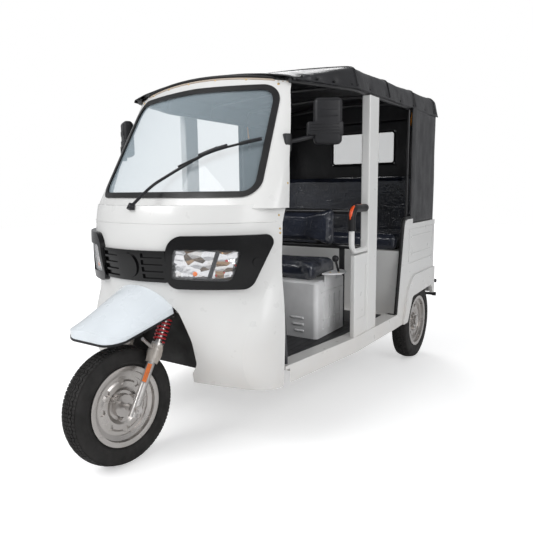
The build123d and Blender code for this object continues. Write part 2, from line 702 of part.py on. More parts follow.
# Engine with its gearbox, the half shafts and the trailing arms with their dampers
hub_z = tyre_radius
engine = box_between((-190, 800, rail_top), (190, 1096, 610))
engine = fillet(engine.edges().filter_by(Axis.Z), 30)
gearbox = box_between((-110, rear_axle_y - 70, 190), (110, rear_axle_y + 70, rail_top + 1))
save(engine + fillet(gearbox.edges().filter_by(Axis.X), 30), "engine")
wheel_x = rear_track / 2
plate_x = wheel_x - 62
shaft = rod((110, rear_axle_y, hub_z), (plate_x - 30, rear_axle_y, hub_z), 13)
for boot_x in (112, plate_x - 82):
    shaft += rod((boot_x, rear_axle_y, hub_z), (boot_x + 50, rear_axle_y, hub_z), 26)
pivot_x = 372
pivot_y = 640
pivot_z = 318
arm = rod((pivot_x, pivot_y, pivot_z), (plate_x - 16, rear_axle_y - 30, hub_z + 4), 21)
arm += rod((rail_x + rail_width / 2 + 0.3, pivot_y, pivot_z), (pivot_x + 34, pivot_y, pivot_z), 26)
arm += rod((plate_x - 32, rear_axle_y, hub_z), (plate_x - 4, rear_axle_y, hub_z), 44)
arm += rod((plate_x - 4, rear_axle_y, hub_z), (plate_x, rear_axle_y, hub_z), 88)
stub_radius = 14
arm += rod((plate_x, rear_axle_y, hub_z), (wheel_x + 22, rear_axle_y, hub_z), stub_radius)
arm += shaft
save_both(arm, "trailing_arms")
damper_low = (448, 862, 290)
damper_high = (466, 820, house_top - 12)
damper = rod(damper_low, damper_high, 9)
middle = tuple(a + (b - a) * 0.25 for a, b in zip(damper_low, damper_high))
damper += rod(middle, tuple(a + (b - a) * 0.94 for a, b in zip(damper_low, damper_high)), 26)
damper += box_between((rail_x + rail_width / 2 - 10, 796, house_top - 18), (house_x, 844, house_top))
damper += box_between((rail_x - 12, 796, rail_top), (rail_x + rail_width / 2 - 10 + 12, 844, house_top))
save_both(damper - arm, "rear_dampers")


# A wheel about the X axis with its outer face towards +X
# columns: distance from the wheel's middle plane, radius
tyre_rows = [(-41, 168), (-52.5, 206), (-43, 240), (0, 250), (43, 240), (52.5, 206), (41, 168)]
rim_rows = [
    (-47, flange_radius), (-42.5, flange_radius), (-41.5, bead_radius), (-26, 150), (-20, 130), (20, 130), (26, 150),
    (41.5, bead_radius), (42.5, flange_radius), (47, flange_radius), (47, 160), (45, 147), (30, 144), (24, 125),
    (-24, 125), (-30, 144), (-45, 147), (-47, 160),
]
disc_rows = [
    (14, 126), (20, 126), (20, 108), (25, 100), (25, 78), (14, 62), (14, 50), (32, 46), (32, 5), (-30, 5), (-30, 72),
    (-24, 72), (-24, 50), (6, 50), (8, 66), (19, 80), (19, 98), (14, 106),
]
hole_count = 8
hole_radius = 13
hole_ring = 102
boss_count = 3
boss_ring = 56
boss_radius = 13
nut_radius = 9
wheel_profile_plane = Plane(origin=(0, 0, 0), x_dir=(1, 0, 0), z_dir=(0, -1, 0))


def spun(face):
    return revolve(wheel_profile_plane * face, Axis.X)


def tyre_shape():
    p = tyre_rows
    edges = [
        ThreePointArc(p[0], p[1], p[2]),
        ThreePointArc(p[2], p[3], p[4]),
        ThreePointArc(p[4], p[5], p[6]),
        Line(p[6], (p[6][0], bead_radius + 0.4)),
        Line((p[6][0], bead_radius + 0.4), (p[0][0], bead_radius + 0.4)),
        Line((p[0][0], bead_radius + 0.4), p[0]),
    ]
    return spun(make_face(edges))


def rim_shape(bore, cap_radius):
    rim = spun(Polygon(*rim_rows, align=None)) + spun(Polygon(*disc_rows, align=None))
    for i in range(hole_count):
        place = Rot(360 * i / hole_count, 0, 0) * Pos(20, 0, hole_ring) * Rot(0, 90, 0)
        rim -= place * Cylinder(hole_radius, 40)
    for i in range(boss_count):
        place = Rot(360 * (i + 0.4) / boss_count, 0, 0) * Pos(0, 0, boss_ring) * Rot(0, 90, 0)
        rim += place * Pos(0, 0, 19) * Cylinder(boss_radius, 12)
        rim += place * Pos(0, 0, 25) * extrude(RegularPolygon(nut_radius, 6), amount=8)
    if cap_radius:
        rim += rod((31, 0, 0), (44, 0, 0), cap_radius)
        rim -= rod((-60, 0, 0), (38, 0, 0), bore)
    else:
        rim -= rod((-60, 0, 0), (60, 0, 0), bore)
    return rim


tyre = tyre_shape()
rear_place = Pos(wheel_x, rear_axle_y, tyre_radius)
rear_rim = rim_shape(stub_radius + hub_bore_gap, 32)
rear_rim -= rod((-200, 0, 0), (-30.5, 0, 0), 60)
save_pair(rear_place * tyre, "rear_tyre")
save_pair(rear_place * rear_rim, "rear_rim")
axle_radius = 8
front_rim = rim_shape(axle_radius + hub_bore_gap, 0)
front_place = Pos(0, front_axle_y, tyre_radius)
save(steered(front_place * tyre), "front_tyre")
save(steered(front_place * front_rim), "front_rim")

# Fork: two legs with spring units, joined by a yoke on the steering stem
leg_foot = -34
leg_top = 216
knuckle_top = 282
spring_top = 408
yoke_low = 440
yoke_high = 464
stem_top = 946
yoke_half_width = leg_x + 30
leg = Pos(leg_x, 0, (leg_foot + leg_top) / 2) * Cylinder(leg_radius, leg_top - leg_foot)
leg += Pos(leg_x, 0, (leg_top + knuckle_top) / 2) * Cylinder(26, knuckle_top - leg_top)
leg += Pos(leg_x, 0, (knuckle_top + yoke_low) / 2) * Cylinder(13, yoke_low - knuckle_top)
leg += Pos(leg_x, 0, (spring_top + yoke_low) / 2) * Cylinder(28, yoke_low - spring_top)
leg += Pos(leg_x + leg_radius - 4, -leg_radius + 4, 150) * Rot(0, 0, -45) * Box(8, 22, 84)
leg -= Pos(leg_x, 0, 0) * Rot(0, 90, 0) * Cylinder(axle_radius, 80)
yoke_face = Pos(0, 22) * RectangleRounded(2 * yoke_half_width, 104, 28)
yoke = Pos(0, 0, yoke_low) * extrude(yoke_face, amount=yoke_high - yoke_low)
stem = Pos(0, axis_offset, (yoke_low + stem_top) / 2) * Cylinder(stem_radius, stem_top - yoke_low)
stay = rod((leg_x, -8, 250), (leg_x + 34, -112, 268), 7)
fork = both_sides(leg + stay) + yoke + stem
spring = Cylinder(25, spring_top - knuckle_top - 1) - Cylinder(13.5, 400)
spring_pitch = 15
for i in range(8):
    spring += Pos(0, 0, -54 + i * spring_pitch) * (Cylinder(28, 7) - Cylinder(14, 20))
spring = Pos(leg_x, 0, (knuckle_top + spring_top) / 2) * spring
save(steered(in_fork(both_sides(spring))), "fork_springs")
reflector = Pos(leg_x + leg_radius + 0.4, -leg_radius - 0.4, 150) * Rot(0, 0, -45) * Box(4, 18, 76)
save(steered(in_fork(both_sides(reflector))), "fork_reflectors")
axle_half = leg_x + 34
axle = rod((-axle_half, 0, 0), (axle_half, 0, 0), axle_radius)
for side in (-1, 1):
    axle += Pos(side * (leg_x + 24), 0, 0) * Rot(0, 90, 0) * Cylinder(15, 10)
    axle += Pos(side * 66, 0, 0) * Rot(0, 90, 0) * Cylinder(14, 30)
axle += Pos(-38, 0, 0) * Rot(0, 90, 0) * Cylinder(68, 5)
axle += Pos(-60, 0, 0) * Rot(0, 90, 0) * Cylinder(20, 42)
save(steered(in_fork(fork + axle)), "fork")

# Handlebar with grips and levers
bar_z = 1052
bar_path = [
    (-330, -404, bar_z), (-140, -470, bar_z), (-50, -500, bar_z - 14), (50, -500, bar_z - 14), (140, -470, bar_z), (330, -404, bar_z)
]
bar = bent_tube(bar_path, 40, 11)
bar += Pos(0, -504, bar_z - 18) * fillet(Box(96, 56, 34).edges(), 8)
bar -= in_fork(stem)
save(steered(bar), "handlebar")
bar_angle = Vector(190, 66, 0).normalized()
grip_list = []
for side in (-1, 1):
    start = Vector(side * 226, -440.1, bar_z)
    end = start + Vector(side * bar_angle.X, bar_angle.Y, 0) * 122
    grip = rod(tuple(start), tuple(end), 17) - rod(tuple(start), tuple(start + Vector(side * bar_angle.X, bar_angle.Y, 0) * 111), 11.3)
    grip_list.append(grip)
save(steered(grip_list[0] + grip_list[1]), "bar_grips")

# Front mudguard over the wheel, fixed to the cowl and fitted to its surface
# columns: y, half_width, side_z, crest_z
guard_sections = [(-780, 172, 690, 806), (-980, 164, 618, 706), (-1172, 150, 574, 596)]
guard_wall = 4
guard_rim_rear = (-834, 625)
guard_rim_front = (-1140, 556)


def guard_face(y, half_width, side_z, crest_z, grow=0.0):
    w = half_width + grow
    edges = [
        ThreePointArc((-w, side_z), (0, crest_z + grow), (w, side_z)),
        Line((w, side_z), (w, 480)),
        Line((w, 480), (-w, 480)),
        Line((-w, 480), (-w, side_z)),
    ]
    return Plane(origin=(0, y, 0), x_dir=(-1, 0, 0), z_dir=(0, 1, 0)) * make_face(edges)


def guard_solid(grow):
    body = loft([guard_face(*row, grow=grow) for row in guard_sections])
    plan = [(-176 - grow, -700), (-158 - grow, -1166 - grow), (158 + grow, -1166 - grow), (176 + grow, -700)]
    plan_face = make_face(FilletPolyline(*plan, radius=[1, 90 + grow, 90 + grow, 1], close=True).edges())
    return body & extrude(Plane.XY.offset(400) * plan_face, amount=600)


def guard_slab(low, high):
    slope = (guard_rim_rear[1] - guard_rim_front[1]) / (guard_rim_rear[0] - guard_rim_front[0])
    ys = (-1300, -600)
    base = [guard_rim_rear[1] + slope * (y - guard_rim_rear[0]) for y in ys]
    points = [(ys[0], base[0] + low), (ys[1], base[1] + low), (ys[1], base[1] + high), (ys[0], base[0] + high)]
    return extrude(Plane.YZ * Polygon(*points, align=None), amount=400, both=True)


guard_seat = cowl_loft(lower_sections, soft_gap)
guard_hollow = guard_solid(0) - guard_solid(-guard_wall) - guard_seat
edge_hollow = guard_solid(2) - guard_solid(-guard_wall - 1) - guard_seat
edge_height = 9
save(guard_hollow & guard_slab(edge_height, 500), "front_mudguard")
save(edge_hollow & guard_slab(0, edge_height), "mudguard_edge")
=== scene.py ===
import json
import math

import bmesh
import bpy
from mathutils import Matrix, Vector, noise
from mathutils.bvhtree import BVHTree


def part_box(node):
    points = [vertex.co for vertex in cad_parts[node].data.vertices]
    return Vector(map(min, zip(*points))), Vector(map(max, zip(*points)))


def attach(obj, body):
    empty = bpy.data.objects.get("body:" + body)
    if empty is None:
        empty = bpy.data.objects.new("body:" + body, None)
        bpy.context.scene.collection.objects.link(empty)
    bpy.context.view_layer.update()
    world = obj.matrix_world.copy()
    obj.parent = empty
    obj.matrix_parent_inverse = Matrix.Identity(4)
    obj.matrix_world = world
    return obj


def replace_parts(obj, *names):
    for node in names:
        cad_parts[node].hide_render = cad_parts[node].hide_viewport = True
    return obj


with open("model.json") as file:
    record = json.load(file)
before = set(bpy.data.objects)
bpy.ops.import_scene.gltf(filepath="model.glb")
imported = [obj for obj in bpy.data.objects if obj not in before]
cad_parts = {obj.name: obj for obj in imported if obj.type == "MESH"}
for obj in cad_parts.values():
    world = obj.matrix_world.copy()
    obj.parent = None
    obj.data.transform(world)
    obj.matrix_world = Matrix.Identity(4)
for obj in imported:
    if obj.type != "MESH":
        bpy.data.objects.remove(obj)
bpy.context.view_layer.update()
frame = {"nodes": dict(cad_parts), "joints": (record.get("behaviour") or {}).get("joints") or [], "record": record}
nodes = frame["nodes"]
scene = bpy.context.scene
print("stage: frame loaded")

# The photograph's viewing angle, in metres and degrees
camera = {
    "place": (1.662, -2.413, 1.136), "azimuth": 33.42, "elevation": 8.45, "roll": -0.785, "lens": 35.15,
}


def shift(x, y, z):
    return Matrix.Translation((x, y, z))


def turned(degrees, axis):
    return Matrix.Rotation(math.radians(degrees), 4, axis)


def makeCamera():
    a, e, r = (math.radians(camera[key]) for key in ("azimuth", "elevation", "roll"))
    forward = Vector((-math.sin(a) * math.cos(e), math.cos(a) * math.cos(e), -math.sin(e)))
    side = Vector((math.cos(a), math.sin(a), 0))
    up = side.cross(forward)
    right = side * math.cos(r) + up * math.sin(r)
    top = up * math.cos(r) - side * math.sin(r)
    data = bpy.data.cameras.new("camera")
    data.lens = camera["lens"]
    data.sensor_width = 36
    cam = bpy.data.objects.new("camera", data)
    scene.collection.objects.link(cam)
    turn = Matrix((right, top, -forward)).transposed().to_4x4()
    cam.matrix_world = shift(*camera["place"]) @ turn
    scene.camera = cam


makeCamera()

# Materials: each starts from a finish and gets its own grain and variation; the body paint also gets painted shade
# near the ground
def shaderOf(mat):
    return mat.node_tree.nodes["Principled BSDF"]


def newFinish(name, colour, rough, metal=0.0, coat=0.0, coatRough=0.05, shine=0.5):
    mat = bpy.data.materials.new(name)
    mat.use_nodes = True
    shader = shaderOf(mat)
    shader.inputs["Base Color"].default_value = (*colour, 1)
    shader.inputs["Roughness"].default_value = rough
    shader.inputs["Metallic"].default_value = metal
    shader.inputs["Coat Weight"].default_value = coat
    shader.inputs["Coat Roughness"].default_value = coatRough
    shader.inputs["Specular IOR Level"].default_value = shine
    return mat


def place(mat, kind, **values):
    node = mat.node_tree.nodes.new(kind)
    for key, value in values.items():
        if hasattr(node, key):
            setattr(node, key, value)
        else:
            node.inputs[key.replace("_", " ")].default_value = value
    return node


def join(mat, source, target):
    mat.node_tree.links.new(source, target)


def objectCoords(mat, scale=(1, 1, 1), turn=(0, 0, 0)):
    coords = place(mat, "ShaderNodeTexCoord")
    mapping = place(mat, "ShaderNodeMapping")
    mapping.inputs["Scale"].default_value = scale
    mapping.inputs["Rotation"].default_value = [math.radians(t) for t in turn]
    join(mat, coords.outputs["Object"], mapping.inputs["Vector"])
    return mapping.outputs["Vector"]


def pattern(mat, kind, stretch=(1, 1, 1), turn=(0, 0, 0), **values):
    node = place(mat, kind, **values)
    join(mat, objectCoords(mat, stretch, turn), node.inputs["Vector"])
    return node


def noiseOf(mat, scale, detail=3.0, stretch=(1, 1, 1)):
    return pattern(mat, "ShaderNodeTexNoise", stretch, Scale=scale, Detail=detail).outputs["Fac"]


def rampOf(mat, value, stops):
    node = place(mat, "ShaderNodeValToRGB")
    ramp = node.color_ramp
    ramp.elements[0].position, ramp.elements[0].color = stops[0][0], (*stops[0][1], 1)
    ramp.elements[1].position, ramp.elements[1].color = stops[-1][0], (*stops[-1][1], 1)
    for position, colour in stops[1:-1]:
        ramp.elements.new(position).color = (*colour, 1)
    join(mat, value, node.inputs["Fac"])
    return node.outputs["Color"]


def tint(colour, factor):
    return tuple(c * factor for c in colour)


def varyColour(mat, colour, low, high, scale, detail=4.0, stretch=(1, 1, 1)):
    value = noiseOf(mat, scale, detail, stretch)
    out = rampOf(mat, value, [(0.3, tint(colour, low)), (0.7, tint(colour, high))])
    join(mat, out, shaderOf(mat).inputs["Base Color"])
    return out


def varyRough(mat, low, high, scale, detail=4.0, stretch=(1, 1, 1)):
    node = place(mat, "ShaderNodeMapRange")
    node.inputs["From Min"].default_value = 0.3
    node.inputs["From Max"].default_value = 0.7
    node.inputs["To Min"].default_value = low
    node.inputs["To Max"].default_value = high
    join(mat, noiseOf(mat, scale, detail, stretch), node.inputs["Value"])
    join(mat, node.outputs["Result"], shaderOf(mat).inputs["Roughness"])


def addBump(mat, value, strength, distance=0.001, target="Normal"):
    shader = shaderOf(mat)
    bump = place(mat, "ShaderNodeBump", Strength=strength, Distance=distance)
    join(mat, value, bump.inputs["Height"])
    if shader.inputs[target].is_linked:
        join(mat, shader.inputs[target].links[0].from_socket, bump.inputs["Normal"])
    join(mat, bump.outputs["Normal"], shader.inputs[target])


# Painted shade: colour that shifts towards a warmer, darker one near the ground, in noisy patches
def paintedGroundShade(mat, colour, shadeTint, low, high, amount):
    coords = place(mat, "ShaderNodeTexCoord")
    split = place(mat, "ShaderNodeSeparateXYZ")
    join(mat, coords.outputs["Object"], split.inputs["Vector"])
    height = place(mat, "ShaderNodeMapRange")
    height.inputs["From Min"].default_value = high
    height.inputs["From Max"].default_value = low
    join(mat, split.outputs["Z"], height.inputs["Value"])
    patch = place(mat, "ShaderNodeMath", operation="MULTIPLY")
    join(mat, height.outputs["Result"], patch.inputs[0])
    join(mat, noiseOf(mat, 9, 6), patch.inputs[1])
    scaled = place(mat, "ShaderNodeMath", operation="MULTIPLY")
    scaled.inputs[1].default_value = amount
    join(mat, patch.outputs[0], scaled.inputs[0])
    mix = place(mat, "ShaderNodeMix", data_type="RGBA")
    join(mat, scaled.outputs[0], mix.inputs["Factor"])
    mix.inputs[7].default_value = (*shadeTint, 1)
    base = varyColour(mat, colour, 0.97, 1.02, 3.0)
    join(mat, base, mix.inputs[6])
    join(mat, mix.outputs[2], shaderOf(mat).inputs["Base Color"])


def bodyPaint():
    mat = newFinish("bodyPaint", (0.70, 0.70, 0.69), 0.32, coat=0.45, coatRough=0.08)
    # Painted shade: the paint turns a darker warm grey towards the bottom of the body
    paintedGroundShade(mat, (0.70, 0.70, 0.69), (0.62, 0.54, 0.47), 0.25, 0.62, 0.5)
    varyRough(mat, 0.26, 0.40, 14)
    addBump(mat, noiseOf(mat, 420, 1), 0.05)
    return mat


# tones and roughs are low, high, scale and detail; each bump is scale, detail, strength and depth
def grained(mat, colour, tones, roughs, *bumps):
    varyColour(mat, colour, *tones)
    varyRough(mat, *roughs)
    for scale, detail, *push in bumps:
        addBump(mat, noiseOf(mat, scale, detail), *push)
    return mat


def guardPaint():
    colour = (0.74, 0.79, 0.83)
    mat = newFinish("guardPaint", colour, 0.22, coat=0.6)
    return grained(mat, colour, (0.96, 1.03, 7, 2), (0.18, 0.34, 11), (90, 2, 0.06))


def moulded(name, colour, rough, grain=650, depth=0.12, coat=0.0, shine=0.5):
    mat = newFinish(name, colour, rough, coat=coat, shine=shine)
    return grained(mat, colour, (0.86, 1.15, 6), (rough * 0.8, rough * 1.25, 18), (grain, 2, depth))


def steelPaint(name, colour, rough=0.35, metal=0.0):
    mat = newFinish(name, colour, rough, metal, coat=0.2, coatRough=0.15)
    return grained(mat, colour, (0.94, 1.06, 12), (rough * 0.85, rough * 1.15, 20), (300, 3, 0.08))


def wheelPaint():
    colour = (0.50, 0.475, 0.455)
    mat = newFinish("wheelPaint", colour, 0.28, 0.9, coat=0.25)
    return grained(mat, colour, (0.94, 1.05, 7, 2), (0.24, 0.32, 9, 2), (900, 2, 0.05))


# Coated canvas: a fine woven grain under a soft crumpled surface
def coatedCanvas():
    colour = (0.011, 0.011, 0.013)
    mat = newFinish("coatedCanvas", colour, 0.55)
    varyColour(mat, colour, 0.7, 1.5, 5)
    varyRough(mat, 0.30, 0.44, 8)
    addBump(mat, noiseOf(mat, 9, 4, (1, 1, 0.5)), 0.45, 0.012)
    for direction in ("X", "Z"):
        weave = pattern(mat, "ShaderNodeTexWave", turn=(0, 0, 12), bands_direction=direction, Scale=260.0,
                        Distortion=0.6)
        addBump(mat, weave.outputs["Fac"], 0.10, 0.0006)
    return mat


# Dark navy vinyl in the clear film that it is delivered in: tight, crossing creases with sharp lights
def wrappedVinyl():
    colour = (0.014, 0.017, 0.028)
    mat = newFinish("wrappedVinyl", colour, 0.34, coat=1.0, coatRough=0.07)
    varyColour(mat, colour, 0.7, 1.7, 7)
    addBump(mat, noiseOf(mat, 380, 3), 0.20, 0.0008)
    for stretch, scale, strength in (((1, 3, 3), 9, 0.85), ((4, 1, 1.4), 13, 0.7), ((1, 1, 1), 40, 0.35)):
        crease = pattern(mat, "ShaderNodeTexNoise", stretch, (17, 8, 31), noise_type="RIDGED_MULTIFRACTAL",
                         Scale=scale, Detail=5.0, Distortion=1.3)
        addBump(mat, crease.outputs["Fac"], strength, 0.004, "Coat Normal")
        addBump(mat, crease.outputs["Fac"], strength * 0.3, 0.003)
    return mat


def tyreRubber():
    colour = (0.014, 0.013, 0.0125)
    mat = newFinish("tyreRubber", colour, 0.72, shine=0.35)
    return grained(mat, colour, (0.75, 1.6, 12), (0.60, 0.85, 25), (220, 4, 0.25, 0.0008))


def ribbedRubber():
    colour = (0.028, 0.028, 0.030)
    mat = newFinish("ribbedRubber", colour, 0.62)
    varyColour(mat, colour, 0.6, 1.8, 9)
    wave = pattern(mat, "ShaderNodeTexWave", bands_direction="Y", Scale=38.0, Distortion=0.0)
    addBump(mat, wave.outputs["Fac"], 0.35, 0.001)
    addBump(mat, noiseOf(mat, 250, 3), 0.2)
    return mat


def clearGlass(name, tintColour, rough=0.0, alpha=0.16):
    mat = newFinish(name, tintColour, rough, shine=0.6)
    edge = place(mat, "ShaderNodeLayerWeight", Blend=0.25)
    clear = place(mat, "ShaderNodeMapRange")
    clear.inputs["To Min"].default_value = alpha
    clear.inputs["To Max"].default_value = min(1.0, alpha + 0.45)
    join(mat, edge.outputs["Facing"], clear.inputs["Value"])
    join(mat, clear.outputs["Result"], shaderOf(mat).inputs["Alpha"])
    addBump(mat, noiseOf(mat, 2.5, 1), 0.04, 0.002)
    return mat


# Lamp reflectors: facetted chrome whose bright, dark and warm facet tones and red glints of the bulbs are painted
# reflections
def lampReflector():
    mat = newFinish("lampReflector", (0.82, 0.80, 0.77), 0.12, 1.0)
    cells = pattern(mat, "ShaderNodeTexVoronoi", (1, 1, 1.6), (0, 38, 20), Scale=22.0)
    # Painted reflections: bright, dark and warm facet tones set into the metal's colour
    stops = [(0.30, (0.93, 0.93, 0.95)), (0.42, (0.16, 0.12, 0.09)), (0.52, (0.85, 0.83, 0.82)),
             (0.66, (0.38, 0.25, 0.15))]
    tones = rampOf(mat, cells.outputs["Color"], stops)
    tones.node.color_ramp.interpolation = "CONSTANT"
    join(mat, tones, shaderOf(mat).inputs["Base Color"])
    addBump(mat, cells.outputs["Distance"], 0.7, 0.010)
    addBump(mat, noiseOf(mat, 26, 3), 0.8, 0.006)
    return mat


def prismLens(name, colour):
    mat = newFinish(name, colour, 0.15, coat=1.0, coatRough=0.03)
    varyColour(mat, colour, 0.75, 1.2, 30)
    cells = pattern(mat, "ShaderNodeTexVoronoi", turn=(0, 0, 45), Scale=260.0, Randomness=0.0)
    addBump(mat, cells.outputs["Distance"], 0.6, 0.002)
    return mat


def zincSteel(name="zincSteel", colour=(0.60, 0.58, 0.54)):
    mat = newFinish(name, colour, 0.34, 1.0)
    return grained(mat, colour, (0.75, 1.15, 45), (0.22, 0.5, 60), (500, 3, 0.1))


def castMetal():
    colour = (0.22, 0.22, 0.215)
    mat = newFinish("castMetal", colour, 0.6, 0.85)
    return grained(mat, colour, (0.6, 1.3, 14), (0.45, 0.8, 30), (160, 4, 0.35, 0.001))


finish = {
    "body_paint": bodyPaint(),
    "guard_white": guardPaint(),
    "edge_black": moulded("edgeBlack", (0.008, 0.008, 0.009), 0.38, shine=0.3),
    "body_plastic": moulded("bodyPlastic", (0.70, 0.70, 0.705), 0.36, grain=380, depth=0.10, coat=0.15),
    "black_rubber": moulded("blackRubber", (0.009, 0.009, 0.0095), 0.42, grain=260, depth=0.18, shine=0.32),
    "clear_glass": clearGlass("clearGlass", (0.50, 0.60, 0.66)),
    "clear_sheet": clearGlass("clearSheet", (0.80, 0.84, 0.86), 0.12, 0.30),
    "underbody_black": moulded("underbodyBlack", (0.030, 0.029, 0.028), 0.8, grain=120, depth=0.4),
    "lamp_black": moulded("lampBlack", (0.0035, 0.0035, 0.004), 0.20, 900, 0.05, 0.12, 0.28),
    "lamp_lens": clearGlass("lampLens", (0.88, 0.90, 0.92), 0.03, 0.05),
    "red_lens": prismLens("redLens", (0.42, 0.012, 0.008)),
    "amber_reflector": prismLens("amberReflector", (0.80, 0.17, 0.012)),
    "black_plastic": moulded("blackPlastic", (0.011, 0.011, 0.013), 0.42, shine=0.36),
    "dark_plastic": moulded("darkPlastic", (0.035, 0.036, 0.040), 0.5),
    "frame_steel": steelPaint("frameSteel", (0.022, 0.022, 0.024)),
    "bright_steel": zincSteel(),
    "wrapped_grip": moulded("wrappedGrip", (0.010, 0.010, 0.011), 0.45, grain=420, depth=0.25, shine=0.35),
    "seat_vinyl": wrappedVinyl(),
    "canopy_vinyl": coatedCanvas(),
    "engine_alloy": castMetal(),
    "tyre_rubber": tyreRubber(),
    "wheel_silver": wheelPaint(),
    "spring_paint": steelPaint("springPaint", (0.42, 0.018, 0.025), 0.3),
}
floorRubber = ribbedRubber()
transitFilm = clearGlass("transitFilm", (0.62, 0.56, 0.50), 0.22, 0.55)
addBump(transitFilm, noiseOf(transitFilm, 70, 4), 0.6, 0.004)
brassScrew = zincSteel("brassScrew", (0.62, 0.44, 0.20))
orangeInsert = moulded("orangeInsert", (0.86, 0.09, 0.012), 0.35, grain=500, depth=0.08, coat=0.3)
flangePaint = steelPaint("flangePaint", (0.46, 0.38, 0.31), 0.5)
filmGrip = moulded("filmGrip", (0.16, 0.16, 0.165), 0.2, grain=120, depth=0.8, coat=0.6)
strapWebbing = moulded("strapWebbing", (0.80, 0.28, 0.02), 0.7, grain=900, depth=0.5)
forkSilver = steelPaint("forkSilver", (0.56, 0.54, 0.525), 0.30, 0.85)
chromeShell = lampReflector()
mirrorGlass = newFinish("mirrorGlass", (0.85, 0.87, 0.88), 0.03, 1.0)
addBump(mirrorGlass, noiseOf(mirrorGlass, 6, 1), 0.02)
print("stage: materials")

slotOf = {row["node"]: row["material_slot"] for row in frame["record"]["subparts"]}
special = {"floor_mat": floorRubber, "fork": forkSilver, "lever_plate": finish["body_plastic"]}
for nodeName, nodeObject in nodes.items():
    nodeObject.data.materials.clear()
    nodeObject.data.materials.append(special.get(nodeName, finish[slotOf[nodeName]]))


sides = ((1, "Left"), (-1, "Right"))


# Finished meshes stand at the origin; each rides on a body and takes a slot
def settle(bm, name, slot, mat=None, body="chassis", replaced=(), smooth=True):
    mesh = bpy.data.meshes.new(name)
    bm.to_mesh(mesh)
    bm.free()
    mesh.materials.append(mat or finish[slot])
    mesh.polygons.foreach_set("use_smooth", [smooth] * len(mesh.polygons))
    piece = bpy.data.objects.new(name, mesh)
    scene.collection.objects.link(piece)
    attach(piece, body)
    if replaced:
        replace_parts(piece, *replaced)
    return piece


# A round solid, or a bare tube without caps, along the matrix's z
def drum(bm, radius, depth, segments, matrix, tip=None, caps=True):
    made = bmesh.ops.create_cone(bm, cap_ends=caps, segments=segments, radius1=radius, radius2=tip or radius,
                                 depth=depth)["verts"]
    bmesh.ops.transform(bm, matrix=matrix, verts=made)
    return made


def sharpen(piece, angle=38):
    piece.data.set_sharp_from_angle(angle=math.radians(angle))


# The steered parts stand turned about the steering axis at rest
steerJoint = next(j for j in frame["joints"] if j["name"] == "steering_turn")
steering = {"rest": -6.0, "rake": 31.0, "axle": (0, -1.020, 0.250)}


def steeredMatrix():
    point, axis = Vector(steerJoint["pos_m"]), Vector(steerJoint["axis"])
    turn = turned(steering["rest"], axis)
    return shift(*point) @ turn @ shift(*-point)


# Fork frame: x to the left, z up along the legs, origin in the front axle
def forkMatrix():
    return steeredMatrix() @ shift(*steering["axle"]) @ turned(-steering["rake"], "X")


tyre = {
    "steps": 96, "shoulder": 0.2362, "groove": 0.0016, "chamfer": 0.0006, "block": 0.0048, "zigzag": 0.0035,
    "crown": 0.2499, "crownDrop": 0.0099, "crownHalf": 0.043, "ribs": (0.178, 0.186), "rib": 0.0012,
}
# columns: distance from the middle plane, radius, from one bead to the crown
tyreProfile = [(0.0405, 0.160), (0.0410, 0.169), (0.0462, 0.176), (0.0505, 0.189), (0.0522, 0.204),
               (0.0512, 0.217), (0.0478, 0.229), (0.0440, 0.2355), (0.0300, 0.2405), (0.0150, 0.2438),
               (0.0050, 0.2450)]


def fromAxle(co):
    return math.hypot(co.y, co.z)


def makeTyre(name, body, matrix, node):
    bm = bmesh.new()
    outline = tyreProfile + [(-x, r) for x, r in reversed(tyreProfile)]
    verts = [bm.verts.new((x, 0, r)) for x, r in outline]
    edges = [bm.edges.new(pair) for pair in zip(verts, verts[1:])]
    steps = tyre["steps"]
    bmesh.ops.spin(bm, geom=verts + edges, cent=(0, 0, 0), axis=(1, 0, 0), angle=math.tau, steps=steps,
                   use_merge=True)
    bmesh.ops.remove_doubles(bm, verts=bm.verts, dist=1e-6)
    # The tread's shoulder rows are set to and fro, so that its blocks zigzag
    stagger = math.pi / steps
    for vert in bm.verts:
        if fromAxle(vert.co) > 0.238 and 0.01 < abs(vert.co.x) < 0.04:
            around = math.atan2(vert.co.y, vert.co.z)
            vert.co.x += tyre["zigzag"] * (1 if round(around / (2 * stagger)) % 2 else -1)
    bmesh.ops.recalc_face_normals(bm, faces=bm.faces)
    tread = [f for f in bm.faces if fromAxle(f.calc_center_median()) > tyre["shoulder"]]
    bmesh.ops.inset_individual(bm, faces=tread, thickness=tyre["groove"], depth=0.0)
    bmesh.ops.inset_individual(bm, faces=tread, thickness=tyre["chamfer"], depth=tyre["block"])
    for vert in bm.verts:
        radius = fromAxle(vert.co)
        limit = tyre["crown"] - tyre["crownDrop"] * (vert.co.x / tyre["crownHalf"]) ** 2
        if radius > limit:
            vert.co.y *= limit / radius
            vert.co.z *= limit / radius
    low, high = tyre["ribs"]
    ribs = [f for f in bm.faces if low < fromAxle(f.calc_center_median()) < high]
    bmesh.ops.inset_region(bm, faces=ribs, thickness=tyre["rib"], depth=tyre["rib"], use_even_offset=True)
    bmesh.ops.transform(bm, matrix=matrix, verts=bm.verts)
    piece = settle(bm, name, "tyre_rubber", body=body, replaced=(node,))
    sharpen(piece, 30)


rearAxle = {"x": 0.58, "y": 0.990, "z": 0.250}
frontWheelMatrix = steeredMatrix() @ shift(*steering["axle"])
leftWheelMatrix = shift(rearAxle["x"], rearAxle["y"], rearAxle["z"])
rightWheelMatrix = shift(-rearAxle["x"], rearAxle["y"], rearAxle["z"])
makeTyre("frontTyre", "front_wheel", frontWheelMatrix, "front_tyre")
makeTyre("rearTyreLeft", "rear_wheel_left", leftWheelMatrix, "rear_tyre_left")
makeTyre("rearTyreRight", "rear_wheel_right", rightWheelMatrix, "rear_tyre_right")
print("stage: tyres")

# Fork springs as real coils around the legs
spring = {
    "leg": 0.100, "low": 0.284, "high": 0.406, "radius": 0.0238, "wire": 0.0042, "turns": 7, "steps": 22,
}


